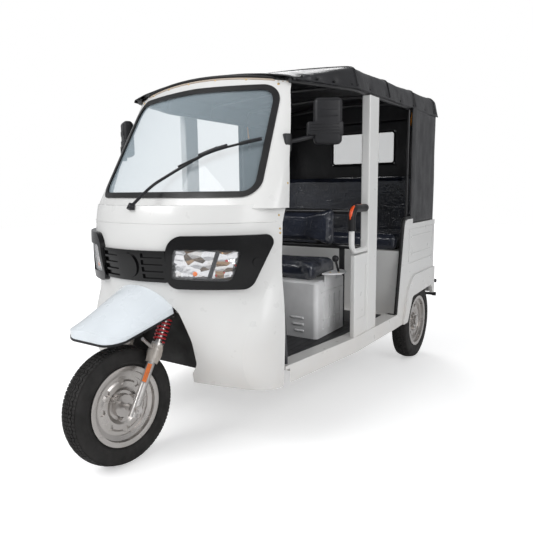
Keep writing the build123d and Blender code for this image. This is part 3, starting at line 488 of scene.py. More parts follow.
def makeSprings():
    bm = bmesh.new()
    for side in (-1, 1):
        ring = bmesh.ops.create_circle(bm, segments=8, radius=spring["wire"])["verts"]
        standing = shift(spring["radius"], 0, 0) @ turned(90, "X")
        bmesh.ops.transform(bm, matrix=standing, verts=ring)
        edges = list({e for v in ring for e in v.link_edges})
        rise = (spring["high"] - spring["low"] - 2 * spring["wire"]) / (spring["turns"] * spring["steps"])
        made = bmesh.ops.spin(bm, geom=ring + edges, cent=(0, 0, 0), axis=(0, 0, 1), dvec=(0, 0, rise),
                              angle=math.tau * spring["turns"], steps=spring["turns"] * spring["steps"])
        last = [g for g in made["geom_last"] if isinstance(g, bmesh.types.BMVert)]
        bmesh.ops.contextual_create(bm, geom=ring)
        bmesh.ops.contextual_create(bm, geom=last)
        coil = [v for v in bm.verts if not v.tag]
        bmesh.ops.translate(bm, vec=(side * spring["leg"], 0, spring["low"] + spring["wire"]), verts=coil)
        for vert in coil:
            vert.tag = True
    bmesh.ops.recalc_face_normals(bm, faces=bm.faces)
    bmesh.ops.transform(bm, matrix=forkMatrix(), verts=bm.verts)
    settle(bm, "springCoils", "spring_paint", body="steering", replaced=("fork_springs",))


makeSprings()
print("stage: springs")

# Pressed pockets behind the wheel discs' openings
pocket = {"count": 8, "ring": 0.102, "radius": 0.0134, "depth": 0.002, "x": 0.0168}


def makePockets(name, body, matrix):
    bm = bmesh.new()
    for i in range(pocket["count"]):
        around = turned(360 * i / pocket["count"], "X")
        spot = around @ shift(pocket["x"], 0, pocket["ring"])
        drum(bm, pocket["radius"], pocket["depth"], 24, spot @ turned(90, "Y"))
    bmesh.ops.transform(bm, matrix=matrix, verts=bm.verts)
    sharpen(settle(bm, name, "wheel_silver", body=body), 30)


makePockets("frontRimPockets", "front_wheel", frontWheelMatrix)
makePockets("rearRimPocketsLeft", "rear_wheel_left", leftWheelMatrix)
makePockets("rearRimPocketsRight", "rear_wheel_right", rightWheelMatrix @ turned(180, "Z"))

# Brass axle nuts and crumpled transit film round the fork's knuckles
forkTrim = {
    "leg": 0.100, "nutOut": 0.020, "nutRadius": 0.0135, "nutDepth": 0.010, "filmLow": 0.196,
    "filmHigh": 0.276, "filmRadius": 0.0285, "filmRows": 14, "crease": 0.10,
}


def makeForkTrim():
    bm = bmesh.new()
    for side in (-1, 1):
        spot = shift(side * (forkTrim["leg"] + forkTrim["nutOut"]), 0, 0)
        drum(bm, forkTrim["nutRadius"], forkTrim["nutDepth"], 6, spot @ turned(90, "Y"))
    bmesh.ops.transform(bm, matrix=forkMatrix(), verts=bm.verts)
    settle(bm, "axleNuts", "bright_steel", brassScrew, "steering", smooth=False)
    bm = bmesh.new()
    low, high = forkTrim["filmLow"], forkTrim["filmHigh"]
    for side in (-1, 1):
        made = drum(bm, forkTrim["filmRadius"], high - low, 48, Matrix.Identity(4), caps=False)
        edges = list({e for v in made for e in v.link_edges if abs(e.verts[0].co.z - e.verts[1].co.z) > 0.01})
        bmesh.ops.subdivide_edges(bm, edges=edges, cuts=forkTrim["filmRows"])
        fresh = [v for v in bm.verts if not v.tag]
        for vert in fresh:
            where = vert.co * 26 + Vector((side * 3, 0, 0))
            ridge = noise.ridged_multi_fractal(where, 0.9, 2.1, 4, 1.0, 2.0)
            flare = 1 + 0.10 * math.cos(vert.co.z * 70)
            grow = flare * (1 - forkTrim["crease"] + forkTrim["crease"] * ridge)
            vert.co.x *= grow
            vert.co.y *= grow
            vert.tag = True
        bmesh.ops.translate(bm, vec=(side * forkTrim["leg"], 0, (low + high) / 2), verts=fresh)
    bmesh.ops.transform(bm, matrix=forkMatrix(), verts=bm.verts)
    settle(bm, "forkFilm", "clear_sheet", transitFilm, "steering")


makeForkTrim()
print("stage: wheel and fork trim")


# A padded piece: a bevelled block, inflated as cloth under pressure, then held within its cap
def padBlock(low, high, shrink, bevel):
    size = high - low
    bm = bmesh.new()
    bmesh.ops.create_cube(bm, size=1)
    bmesh.ops.scale(bm, vec=[s - 2 * shrink for s in size], verts=bm.verts)
    bmesh.ops.bevel(bm, geom=bm.edges[:], offset=bevel, offset_type="OFFSET", segments=3, profile=0.5,
                    affect="EDGES", material=-1)
    bmesh.ops.translate(bm, vec=(low + high) / 2, verts=bm.verts)
    return bm


def inflate(piece, voxel, pressure, cap, low, high):
    bpy.context.view_layer.objects.active = piece
    remesh = piece.modifiers.new("remesh", "REMESH")
    remesh.mode = "VOXEL"
    remesh.voxel_size = voxel
    bpy.ops.object.modifier_apply(modifier="remesh")
    before = [v.co.copy() for v in piece.data.vertices]
    cloth = piece.modifiers.new("cloth", "CLOTH")
    cloth.settings.use_pressure = True
    cloth.settings.uniform_pressure_force = pressure
    cloth.settings.effector_weights.gravity = 0
    cloth.settings.quality = 4
    cloth.settings.tension_stiffness = 12
    cloth.settings.compression_stiffness = 12
    cloth.settings.bending_stiffness = 0.4
    for step in range(1, padding["frames"] + 1):
        scene.frame_set(step)
    bpy.ops.object.modifier_apply(modifier="cloth")
    scene.frame_set(1)
    for vert, start in zip(piece.data.vertices, before):
        move = vert.co - start
        if move.length > cap:
            vert.co = start + move * (cap / move.length)
        for axis in range(3):
            vert.co[axis] = min(max(vert.co[axis], low[axis]), high[axis])


padding = {
    "shrink": 0.012, "bevel": 0.022, "voxel": 0.008, "pressure": 4.0, "frames": 20, "fold": 0.0022,
    "inset": 0.002, "fill": 0.7,
}
# piece, node, how far its skin may move
cushions = [
    ("driverCushion", "driver_cushion", 0.024),
    ("driverBackrest", "driver_backrest", 0.022),
    ("rearCushion", "rear_cushion", 0.024),
    ("rearBackrest", "rear_backrest", 0.026),
]


def makeCushion(name, node, cap):
    low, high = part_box(node)
    bm = padBlock(low, high, padding["shrink"], padding["bevel"])
    piece = settle(bm, name, "seat_vinyl", replaced=(node,))
    inflate(piece, padding["voxel"], padding["pressure"], cap, low, high)
    # The film's pull: shallow creases across the face, deepest near the edges
    size = high - low
    for vert in piece.data.vertices:
        fromLow = vert.co - low
        where = Vector((fromLow.x * 3.1, fromLow.y * 9.0, fromLow.z * 9.0))
        fold = noise.fractal(where * 2.2, 1.0, 2.0, 3)
        edgeShare = min(fromLow.x / size.x, (high.x - vert.co.x) / size.x, 0.25) * 4
        push = padding["fold"] * fold * (1.3 - 0.6 * edgeShare)
        inward = (low + high) / 2 - vert.co
        vert.co += inward.normalized() * (padding["inset"] + push)
    smooth = piece.modifiers.new("smooth", "SUBSURF")
    smooth.levels = 1
    smooth.render_levels = 1


for cushionRow in cushions:
    makeCushion(*cushionRow)
print("stage: cushions")

# Canopy: one sheet over the bows, falling to a hem at the sides and a short flap behind
# sections: place from front to rear, half width, shoulder height, crown height
canopy = {
    "sections": [(-0.414, 0.4925, 1.614, 1.6690), (-0.030, 0.6285, 1.706, 1.7370),
                 (1.250, 0.6490, 1.7215, 1.7630)],
    "hem": 1.6010, "lean": 0.22, "sideShare": 0.22, "round": 0.030, "columns": 120, "rows": 132,
    "flapRows": 10, "rear": 1.2505, "bows": (-0.03, 0.38, 0.80, 1.20), "sag": 0.007, "thickness": 0.003,
    "snaps": (-0.36, -0.27, -0.17, -0.06, 0.13, 0.34, 0.56, 0.78, 1.00, 1.18), "snapRise": 0.018,
    "snapRadius": 0.0062, "pucker": 0.0065, "welt": 0.0026, "hemCord": 0.0034,
}


def canopySize(y):
    rows = canopy["sections"]
    pair = (rows[0], rows[1]) if y < rows[1][0] else (rows[1], rows[2])
    share = (y - pair[0][0]) / (pair[1][0] - pair[0][0])
    return [a + (b - a) * share for a, b in zip(pair[0][1:], pair[1][1:])]


# A point of the section at t from 0, the left hem, to 1, the right hem
def canopyPoint(t, y):
    halfWidth, shoulder, crown = canopySize(y)
    lean = (shoulder - canopy["hem"]) * canopy["lean"]
    side = 1 if t < 0.5 else -1
    s = (t if t < 0.5 else 1 - t) * 2
    topX = halfWidth - lean
    rise = shoulder - canopy["hem"]
    sideShare = canopy["sideShare"]
    if s < sideShare:
        k = s / sideShare
        x, z = halfWidth - lean * k, canopy["hem"] + rise * k
    else:
        k = (s - sideShare) / (1 - sideShare)
        x = topX * (1 - k)
        z = shoulder + (crown - shoulder) * (1 - (x / topX) ** 2)
    return Vector((side * x, y, z))


# Rounds the shoulder by averaging the section over a short stretch
def canopyRound(t, y):
    reach = canopy["round"]
    total = Vector((0, 0, 0))
    weights = 0
    for i in range(-3, 4):
        share = min(max(t + i * reach / 3 * min(1, min(t, 1 - t) / reach), 0), 1)
        weight = 4 - abs(i)
        total += canopyPoint(share, y) * weight
        weights += weight
    return total / weights


# The sheet is pulled in round each snap, most at the snap itself and along a crease above it
def puckerAt(y, z):
    pull = 0
    for snapY in canopy["snaps"]:
        rise = z - canopy["hem"] - canopy["snapRise"]
        near = math.exp(-((y - snapY) / 0.022) ** 2 - (rise / 0.024) ** 2)
        crease = 0.5 * math.exp(-((y - snapY - 0.4 * rise) / 0.012) ** 2) * math.exp(-max(rise, 0) / 0.045)
        pull = max(pull, near, crease if rise > 0 else 0)
    return pull


def makeCanopy():
    bm = bmesh.new()
    columns, rows, flap = canopy["columns"], canopy["rows"], canopy["flapRows"]
    bmesh.ops.create_grid(bm, x_segments=columns, y_segments=rows + flap, size=0.5)
    front, rear = canopy["sections"][0][0], canopy["rear"]
    bows = canopy["bows"]
    for vert in bm.verts:
        t = vert.co.x + 0.5
        row = (vert.co.y + 0.5) * (rows + flap)
        y = front + (rear - front) * min(row / rows, 1)
        point = canopyRound(t, y)
        bay = min(abs(y - b) for b in bows)
        overTop = max(0, 1 - abs(t - 0.5) * 2.5)
        sag = canopy["sag"] * min(bay / 0.16, 1) ** 1.5
        if front + 0.05 < y:
            point.z -= sag * (0.5 + 0.5 * overTop)
        wrinkle = noise.fractal(Vector((point.x * 5, point.y * 4, point.z * 9)), 1.0, 2.0, 4)
        pull = noise.noise(Vector((point.x * 14, point.y * 2.2, point.z * 3)))
        point.z -= 0.0022 + 0.0022 * wrinkle
        sideways = 1 if point.x > 0 else -1
        if abs(t - 0.5) > 0.36:
            drop = (abs(t - 0.5) - 0.36) / 0.14
            point.x -= sideways * (0.0025 + 0.0028 * (wrinkle + pull) * drop)
            point.x -= sideways * canopy["pucker"] * puckerAt(point.y, point.z)
        if row > rows:
            fall = (row - rows) / flap
            point.z -= (point.z - canopy["hem"]) * fall
            point.y += 0.001 * math.sin(fall * math.pi)
        cornerCut = max(0, abs(point.x) - 0.40) if y < front + 0.09 else 0
        point.y += cornerCut * 0.10
        vert.co = point
    bmesh.ops.smooth_vert(bm, verts=bm.verts, factor=0.35, use_axis_x=True, use_axis_y=True, use_axis_z=True)
    bmesh.ops.recalc_face_normals(bm, faces=bm.faces)
    if sum(f.normal.z for f in bm.faces) < 0:
        bmesh.ops.reverse_faces(bm, faces=bm.faces)
    bmesh.ops.solidify(bm, geom=bm.faces[:], thickness=canopy["thickness"])
    piece = settle(bm, "canopySheet", "canopy_vinyl", replaced=("canopy",))


makeCanopy()
print("stage: canopy")

# Side and rear curtains: one sheet that goes round the back, hung from the roof and held along its foot
curtain = {
    "front": 0.733, "step": 0.766, "half": 0.6455, "rear": 1.2405, "corner": 0.028, "low": 0.9172,
    "stepLow": 0.9472, "top": 1.6015, "pane": (-0.128, 0.353, 1.308, 1.530), "paneCorner": 0.022,
    "thickness": 0.0025,
}
# Cells of the side, corner, rear, pane, rear, corner and side
curtainCells = (26, 6, 12, 20, 18, 6, 26)


def curtainStops():
    half, corner = curtain["half"], curtain["corner"]
    sideRun = curtain["rear"] - corner - curtain["front"]
    arc = corner * math.pi / 2
    lowX, highX = curtain["pane"][0], curtain["pane"][1]
    lengths = [sideRun, arc, half - corner - highX, highX - lowX, lowX + half - corner, arc, sideRun]
    stops = [0.0]
    for cells, length in zip(curtainCells, lengths):
        stops += [stops[-1] + length * (i + 1) / cells for i in range(cells)]
    return stops


def curtainPlan(s):
    half, corner, rear = curtain["half"], curtain["corner"], curtain["rear"]
    sideRun = rear - corner - curtain["front"]
    arc = corner * math.pi / 2
    back = 2 * (half - corner)
    if s <= sideRun:
        return Vector((half, curtain["front"] + s, 0)), Vector((1, 0, 0))
    s -= sideRun
    if s <= arc:
        a = s / corner
        out = Vector((math.cos(a), math.sin(a), 0))
        return Vector((half - corner, rear - corner, 0)) + out * corner, out
    s -= arc
    if s <= back:
        return Vector((half - corner - s, rear, 0)), Vector((0, 1, 0))
    s -= back
    if s <= arc:
        a = math.pi / 2 + s / corner
        out = Vector((math.cos(a), math.sin(a), 0))
        return Vector((-half + corner, rear - corner, 0)) + out * corner, out
    s -= arc
    return Vector((-half, rear - corner - s, 0)), Vector((-1, 0, 0))


def makeCurtain():
    stops = curtainStops()
    lowZ, highZ = curtain["pane"][2], curtain["pane"][3]
    levels = [curtain["low"] + (lowZ - curtain["low"]) * i / 22 for i in range(22)]
    levels += [lowZ + (highZ - lowZ) * i / 12 for i in range(12)]
    levels += [highZ + (curtain["top"] - highZ) * i / 5 for i in range(6)]
    bm = bmesh.new()
    bmesh.ops.create_grid(bm, x_segments=len(stops) - 1, y_segments=len(levels) - 1, size=0.5)
    columns, rows = len(stops) - 1, len(levels) - 1
    for vert in bm.verts:
        i, j = round((vert.co.x + 0.5) * columns), round((vert.co.y + 0.5) * rows)
        plan, out = curtainPlan(stops[i])
        z = levels[j]
        if plan.y < curtain["step"] and abs(plan.x) > 0.6:
            z = max(z, curtain["stepLow"])
        height = (z - curtain["low"]) / (curtain["top"] - curtain["low"])
        free = min(stops[i], stops[-1] - stops[i])
        folds = noise.fractal(Vector((plan.x * 7 + 3, plan.y * 9, z * 1.6)), 1.0, 2.0, 4)
        billow = math.sin(math.pi * height)
        edge = max(0, 1 - free / 0.10)
        depth = (0.0045 * folds + 0.002 * edge * math.sin(z * 34)) * (0.35 + billow)
        paneX = curtain["pane"][0] - 0.02 < plan.x < curtain["pane"][1] + 0.02
        if out.y > 0.9 and paneX and lowZ - 0.03 < z < highZ + 0.03:
            depth *= 0.15
        vert.co = plan + Vector((0, 0, z)) - out * (0.0035 + depth)
    pane = []
    for face in bm.faces:
        c = face.calc_center_median()
        if c.y > 1.2 and curtain["pane"][0] < c.x < curtain["pane"][1] and lowZ < c.z < highZ:
            pane.append(face)
    bmesh.ops.delete(bm, geom=pane, context="FACES")
    flat = [f for f in bm.faces if f.calc_area() < 1e-9]
    bmesh.ops.delete(bm, geom=flat, context="FACES")
    bmesh.ops.recalc_face_normals(bm, faces=bm.faces)
    side = max(bm.faces, key=lambda f: f.calc_center_median().x)
    if side.normal.x < 0:
        bmesh.ops.reverse_faces(bm, faces=bm.faces)
    bmesh.ops.solidify(bm, geom=bm.faces[:], thickness=curtain["thickness"])
    piece = settle(bm, "curtainSheet", "canopy_vinyl", replaced=("curtain",))


makeCurtain()
print("stage: curtain")


# A round bead along chosen points, as one mesh on the chassis
def bead(name, points, radius, slot, mat=None, closed=False, bend=True):
    curve = bpy.data.curves.new(name, "CURVE")
    curve.dimensions = "3D"
    curve.bevel_depth = radius
    curve.bevel_resolution = 2
    curve.use_fill_caps = True
    line = curve.splines.new("NURBS" if bend else "POLY")
    line.points.add(len(points) - 1)
    for point, co in zip(line.points, points):
        point.co = (*co, 1)
    line.use_cyclic_u = closed
    if bend:
        line.order_u = 3
        line.use_endpoint_u = not closed
        line.resolution_u = 5
    holder = bpy.data.objects.new(name + "Line", curve)
    mesh = bpy.data.meshes.new_from_object(holder)
    bm = bmesh.new()
    bm.from_mesh(mesh)
    bpy.data.objects.remove(holder)
    bpy.data.meshes.remove(mesh)
    bmesh.ops.remove_doubles(bm, verts=bm.verts, dist=1e-6)
    bmesh.ops.recalc_face_normals(bm, faces=bm.faces)
    return settle(bm, name, slot, mat)


def mergedCopy(node):
    bm = bmesh.new()
    bm.from_mesh(nodes[node].data)
    bmesh.ops.remove_doubles(bm, verts=bm.verts, dist=1e-5)
    return bm


# Lines cut from a CAD node by a plane, for seams and edging that follow its surface
def cutLine(node, point, normal, keep):
    bm = mergedCopy(node)
    everything = bm.verts[:] + bm.edges[:] + bm.faces[:]
    bmesh.ops.bisect_plane(bm, geom=everything, dist=1e-6, plane_co=point, plane_no=normal)
    normal = Vector(normal)
    onPlane = [v for v in bm.verts if abs((v.co - Vector(point)).dot(normal)) < 1e-5 and keep(v.co)]
    chosen = set(onPlane)
    edges = [e for e in bm.edges if e.verts[0] in chosen and e.verts[1] in chosen]
    lines = []
    left = set(edges)
    while left:
        edge = left.pop()
        chain = [edge.verts[0], edge.verts[1]]
        for end in (0, 1):
            while True:
                tip = chain[-1] if end else chain[0]
                step = next((e for e in tip.link_edges if e in left), None)
                if step is None:
                    break
                left.remove(step)
                other = step.other_vert(tip)
                chain = chain + [other] if end else [other] + chain
        lines.append([v.co.copy() for v in chain])
    bm.free()
    return lines


cowlSeam = {"z": 1.005, "radius": 0.0022}


def makeCowlSeam():
    def outside(co):
        return abs(co.x) > 0.545 or co.y < -0.60
    lines = cutLine("front_cowl", (0, 0, cowlSeam["z"]), (0, 0, 1), outside)
    longest = max(lines, key=lambda line: sum((a - b).length for a, b in zip(line, line[1:])))
    bead("cowlSeam", longest, cowlSeam["radius"], "body_paint", bend=False)


makeCowlSeam()


def treeOf(node):
    bm = bmesh.new()
    bm.from_mesh(nodes[node].data)
    tree = BVHTree.FromBMesh(bm)
    bm.free()
    return tree


# Small domed brass screws where rays from outside meet a node
def screwsOn(name, node, starts, direction, radius):
    tree = treeOf(node)
    bm = bmesh.new()
    for start in starts:
        spot, normal, index, distance = tree.ray_cast(Vector(start), Vector(direction))
        if spot is None:
            continue
        turn = normal.to_track_quat("Z", "Y").to_matrix().to_4x4()
        made = bmesh.ops.create_uvsphere(bm, u_segments=12, v_segments=6, radius=radius)["verts"]
        flat = Matrix.Diagonal((1, 1, 0.55, 1))
        bmesh.ops.transform(bm, matrix=shift(*spot) @ turn @ flat, verts=made)
    settle(bm, name, "bright_steel", brassScrew)


# The crest where the cowl's face meets its roof, chained from the node's sharp edges
roofEdge = {
    "top": 1.648, "radius": 2.05, "slack": 0.007, "back": -0.368, "bead": 0.0075, "flange": 0.0048,
    "gap": 0.012, "screws": (-0.42, -0.33, -0.20, -0.06, 0.10, 0.26, 0.41), "screwDrop": 0.010,
    "screw": 0.006,
}


def crestLine():
    bm = mergedCopy("front_cowl")

    def onCrest(co):
        line = roofEdge["top"] - co.x ** 2 / (2 * roofEdge["radius"])
        return co.z > line - roofEdge["slack"] and co.y < roofEdge["back"]
    edges = [e for e in bm.edges if len(e.link_faces) == 2 and e.calc_face_angle(0) > 0.6]
    points = {v for e in edges for v in e.verts if all(onCrest(w.co) for w in e.verts)}
    line = sorted((v.co.copy() for v in points), key=lambda co: co.x)
    bm.free()
    spaced = [line[0]]
    for co in line[1:]:
        if (co - spaced[-1]).length > roofEdge["gap"]:
            spaced.append(co)
    return spaced


def makeRoofEdge():
    crest = crestLine()
    lifted = [co + Vector((0, -0.001, 0.004)) for co in crest]
    bead("roofDripTrim", lifted, roofEdge["bead"], "black_rubber")
    flange = [co + Vector((0, -0.0045, -0.0075)) for co in crest]
    bead("roofFlange", flange, roofEdge["flange"], "body_paint", flangePaint)
    tops = {round(co.x, 2): co for co in crest}
    starts = []
    for x in roofEdge["screws"]:
        near = tops[min(tops, key=lambda key: abs(key - x))]
        starts.append((x, -2, near.z - roofEdge["screwDrop"]))
    screwsOn("roofScrews", "front_cowl", starts, (0, 1, 0), roofEdge["screw"])


makeRoofEdge()

# Screws along the door edge of the cowl and on the lever's plate
doorScrews = [(-0.594, 1.030), (-0.592, 0.975), (-0.592, 0.957), (-0.600, 0.62), (-0.546, 1.16)]
for side, sideName in sides:
    starts = [(side * 2, y, z) for y, z in doorScrews]
    screwsOn("doorScrews" + sideName, "front_cowl", starts, (-side, 0, 0), 0.0048)
leverStarts = [(0.505, 0.018, 1), (0.535, -0.040, 1), (0.497, -0.062, 1)]
screwsOn("leverScrews", "lever_plate", leverStarts, (0, 0, -1), 0.0055)

# Padded black edging round the front of each rear quarter
quarterEdge = [
    (0.520, 0.392), (0.545, 0.530), (0.577, 0.700), (0.602, 0.840), (0.614, 0.905), (0.622, 0.940),
    (0.640, 0.9515), (0.690, 0.953), (0.757, 0.953),
]
for side, sideName in sides:
    points = [(side * 0.6400, y - 0.006, z) for y, z in quarterEdge]
    bead("quarterEdging" + sideName, points, 0.0105, "black_rubber")

# Grab handles get their orange inserts over the outer bend
handle = {"x": 0.614, "front": -0.066, "top": 1.036, "radius": 0.0105, "out": 0.0095}


def makeHandleInserts():
    front, top, out = handle["front"], handle["top"], handle["out"]
    bend = [
        (front - out, 0.985), (front - out, 1.000), (front - out + 0.006, 1.024),
        (front + 0.022, top + out - 0.002), (0.010, top + out), (0.050, top + out),
    ]
    for side, sideName in sides:
        points = [(side * handle["x"], y, z) for y, z in bend]
        bead("handleInsert" + sideName, points, handle["radius"], "amber_reflector", orangeInsert)


makeHandleInserts()
print("stage: edging and screws")

# Mirrors: a moulded shell with ribs and a bare oval, a glass behind, an arm and a screwed foot
# head: width and shift outwards; band: width, depth, height and rise; oval: width, height and rise
mirror = {
    "centre": (0.612, -0.352, 1.420), "depth": 0.054, "height": 0.194, "turn": 33, "bevel": 0.020,
    "head": (0.122, 0.012), "band": (0.154, 0.050, 0.058, -0.031), "ribs": (-0.012, -0.024, -0.036, -0.048),
    "oval": (0.082, 0.027, 0.032), "foot": (0.502, -0.484, 1.330), "footSize": (0.034, 0.024, 0.074),
    "footTurn": 62, "armRadius": 0.0092,
    "arm": [(0.504, -0.476, 1.333), (0.530, -0.456, 1.338), (0.552, -0.430, 1.347), (0.572, -0.392, 1.356),
            (0.580, -0.368, 1.362)],
}


def roundedBlock(bm, size, bevel, segments, matrix):
    made = bmesh.ops.create_cube(bm, size=1)["verts"]
    bmesh.ops.scale(bm, vec=size, verts=made)
    edges = list({e for v in made for e in v.link_edges})
    out = bmesh.ops.bevel(bm, geom=edges, offset=bevel, offset_type="OFFSET", segments=segments, profile=0.5,
                          affect="EDGES", material=-1)
    verts = list({v for f in out["faces"] for v in f.verts} | {v for v in made if v.is_valid})
    bmesh.ops.transform(bm, matrix=matrix, verts=verts)


def makeMirror(side, sideName):
    depth, height = mirror["depth"], mirror["height"]
    headWidth, headX = mirror["head"]
    bandWidth, bandDepth, bandHeight, bandZ = mirror["band"]
    ovalWidth, ovalHeight, ovalZ = mirror["oval"]
    flip = Matrix.Diagonal((side, 1, 1, 1))
    stand = shift(*mirror["centre"]) @ turned(mirror["turn"], "Z")
    bm = bmesh.new()
    roundedBlock(bm, (headWidth, depth, height), mirror["bevel"], 5, stand @ shift(headX, 0, 0))
    roundedBlock(bm, (bandWidth, bandDepth, bandHeight), 0.008, 3, stand @ shift(0, -0.003, bandZ))
    for z in mirror["ribs"]:
        roundedBlock(bm, (0.122, 0.005, 0.0060), 0.002, 2, stand @ shift(-0.002, -depth / 2 - 0.0008, z))
    roundedBlock(bm, (ovalWidth, 0.0050, ovalHeight), 0.0022, 3, stand @ shift(headX, -depth / 2, ovalZ))
    roundedBlock(bm, mirror["footSize"], 0.005, 3, shift(*mirror["foot"]) @ turned(mirror["footTurn"], "Z"))
    bmesh.ops.transform(bm, matrix=flip, verts=bm.verts)
    bmesh.ops.recalc_face_normals(bm, faces=bm.faces)
    name = "mirror" + sideName
    piece = settle(bm, name, "black_plastic", replaced=("mirrors",) if side > 0 else ())
    sharpen(piece, 32)
    arm = [(side * x, y, z) for x, y, z in mirror["arm"]]
    bead(name + "Arm", arm, mirror["armRadius"], "black_plastic")
    bm = bmesh.new()
    glassSize = (headWidth - 0.022, 0.003, height - 0.026)
    roundedBlock(bm, glassSize, 0.0012, 1, stand @ shift(headX, depth / 2, 0))
    bmesh.ops.transform(bm, matrix=flip, verts=bm.verts)
    bmesh.ops.recalc_face_normals(bm, faces=bm.faces)
    settle(bm, name + "Glass", "bright_steel", mirrorGlass, smooth=False)


for side, sideName in sides:
    makeMirror(side, sideName)
print("stage: mirrors")

# Wiper: a capped pivot, a pressed arm and a blade in its holder
wiper = {
    "arm": [(0.006, -0.912, 1.074), (0.008, -0.860, 1.112), (0.011, -0.790, 1.160), (0.040, -0.744, 1.192),
            (0.110, -0.708, 1.236), (0.190, -0.674, 1.280), (0.255, -0.646, 1.313)],
    "blade": [(0.094, -0.716, 1.237), (0.170, -0.688, 1.270), (0.255, -0.655, 1.302), (0.345, -0.608, 1.326),
              (0.426, -0.562, 1.345)],
    "holder": [(0.185, -0.684, 1.279), (0.225, -0.668, 1.296), (0.265, -0.650, 1.309),
               (0.300, -0.634, 1.318)],
    "tip": [(0.345, -0.608, 1.326), (0.390, -0.584, 1.3365), (0.426, -0.562, 1.345)],
    "pivot": (0.006, -0.912, 1.072), "pivotLean": -24, "pivotFoot": 0.0175, "pivotTop": 0.0135,
    "pivotDepth": 0.024,
}


def makeWiper():
    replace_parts(bead("wiperArm", wiper["arm"], 0.0068, "black_plastic"), "wiper")
    bead("wiperBlade", wiper["blade"], 0.0050, "black_rubber")
    bead("wiperHolder", wiper["holder"], 0.0092, "black_plastic")
    spot = shift(*wiper["pivot"]) @ turned(wiper["pivotLean"], "X")
    bm = bmesh.new()
    drum(bm, wiper["pivotFoot"], wiper["pivotDepth"], 24, spot, wiper["pivotTop"])
    settle(bm, "wiperPivot", "black_plastic")
    bead("wiperTip", wiper["tip"], 0.0078, "black_plastic")


makeWiper()

# Headlamps: facetted shells just behind the lenses, with a bulb, red glints and a dividing bar.
# Places are measured along the left lens and up; bulbs and glints end with a radius.
lamp = {
    "turn": 35, "bulbs": [(-0.253, 0.803, 0.010)],
    "glints": [(-0.124, 0.855, 0.0055), (-0.088, 0.835, 0.0045), (-0.168, 0.796, 0.0050),
               (-0.135, 0.807, 0.0040)],
    "depth": 0.0065, "shell": 0.0072, "bar": ((-0.195, 0.785), (-0.157, 0.893)), "strip": 0.00576,
    "stripRadius": 0.0034, "stripDepth": 0.0048,
}


def lampPoint(u, z, tree):
    a = math.radians(lamp["turn"])
    along, out = Vector((math.cos(a), math.sin(a), 0)), Vector((math.sin(a), -math.cos(a), 0))
    start = along * u + out * 1.6
    start.z = z
    return tree.ray_cast(start, -out)[:2]


def makeLampShell(side, sideName):
    a = math.radians(lamp["turn"])
    out = Vector((side * math.sin(a), -math.cos(a), 0))
    bm = mergedCopy("headlamp_lenses")
    other = [v for v in bm.verts if v.co.x * side < 0]
    bmesh.ops.delete(bm, geom=other, context="VERTS")
    bmesh.ops.translate(bm, vec=-out * lamp["shell"], verts=bm.verts)
    settle(bm, "lampShell" + sideName, "bright_steel", chromeShell)


def makeLampInsides(side, sideName, tree):
    flip = Matrix.Identity(4) if side > 0 else Matrix.Diagonal((-1, 1, 1, 1))
    for kind, slot in (("bulbs", "amber_reflector"), ("glints", "red_lens")):
        bm = bmesh.new()
        for u, z, radius in lamp[kind]:
            spot, normal = lampPoint(u, z, tree)
            made = bmesh.ops.create_uvsphere(bm, u_segments=20, v_segments=12, radius=radius)["verts"]
            turn = normal.to_track_quat("Z", "Y").to_matrix().to_4x4()
            flat = shift(*(spot - normal * lamp["depth"])) @ turn @ Matrix.Diagonal((1, 1, 0.35, 1))
            bmesh.ops.transform(bm, matrix=flat, verts=made)
        bmesh.ops.transform(bm, matrix=flip, verts=bm.verts)
        bmesh.ops.recalc_face_normals(bm, faces=bm.faces)
        settle(bm, "lamp" + kind.capitalize() + sideName, slot)
    # The dividing bar: three thin strips side by side, which follow the lens
    (lowU, lowZ), (highU, highZ) = lamp["bar"]
    for strip in (-1, 0, 1):
        line = []
        for i in range(7):
            u = lowU + (highU - lowU) * i / 6 + strip * lamp["strip"]
            spot, normal = lampPoint(u, lowZ + (highZ - lowZ) * i / 6, tree)
            if spot is not None:
                line.append(flip @ (spot - normal * lamp["stripDepth"]))
        bead("lampBar%s%d" % (sideName, strip + 2), line, lamp["stripRadius"], "dark_plastic")


for side, sideName in sides:
    makeLampShell(side, sideName)
lensTree = treeOf("headlamp_lenses")
for side, sideName in sides:
    makeLampInsides(side, sideName, lensTree)
print("stage: lamps and wiper")

# Canopy welts over the bows, a stitched hem cord and its snaps
def makeCanopyTrim():
    for index, y in enumerate(canopy["bows"]):
        points = [canopyRound(0.015 + 0.97 * i / 60, y) + Vector((0, 0, -0.0006)) for i in range(61)]
        bead("canopyWelt%d" % (index + 1), points, canopy["welt"], "canopy_vinyl")
    front = canopy["sections"][0][0]
    for side, sideName in sides:
        hem = []
        for i in range(40):
            y = front + 0.02 + (canopy["rear"] - 0.03 - front) * i / 39
            point = canopyRound(0.012 if side > 0 else 0.988, y)
            hem.append((point.x - side * 0.0018, y, canopy["hem"] + 0.0035))
        bead("canopyHem" + sideName, hem, canopy["hemCord"], "canopy_vinyl")
        bm = bmesh.new()
        for y in canopy["snaps"]:
            point = canopyRound(0.035 if side > 0 else 0.965, y)
            x = point.x - side * (0.0015 + canopy["pucker"] * 0.6)
            spot = shift(x, y, canopy["hem"] + canopy["snapRise"]) @ turned(90, "Y")
            radius = canopy["snapRadius"]
            made = bmesh.ops.create_uvsphere(bm, u_segments=12, v_segments=6, radius=radius)["verts"]
            bmesh.ops.transform(bm, matrix=spot @ Matrix.Diagonal((1, 1, 0.5, 1)), verts=made)
        settle(bm, "canopySnaps" + sideName, "black_plastic", finish["lamp_black"])


makeCanopyTrim()


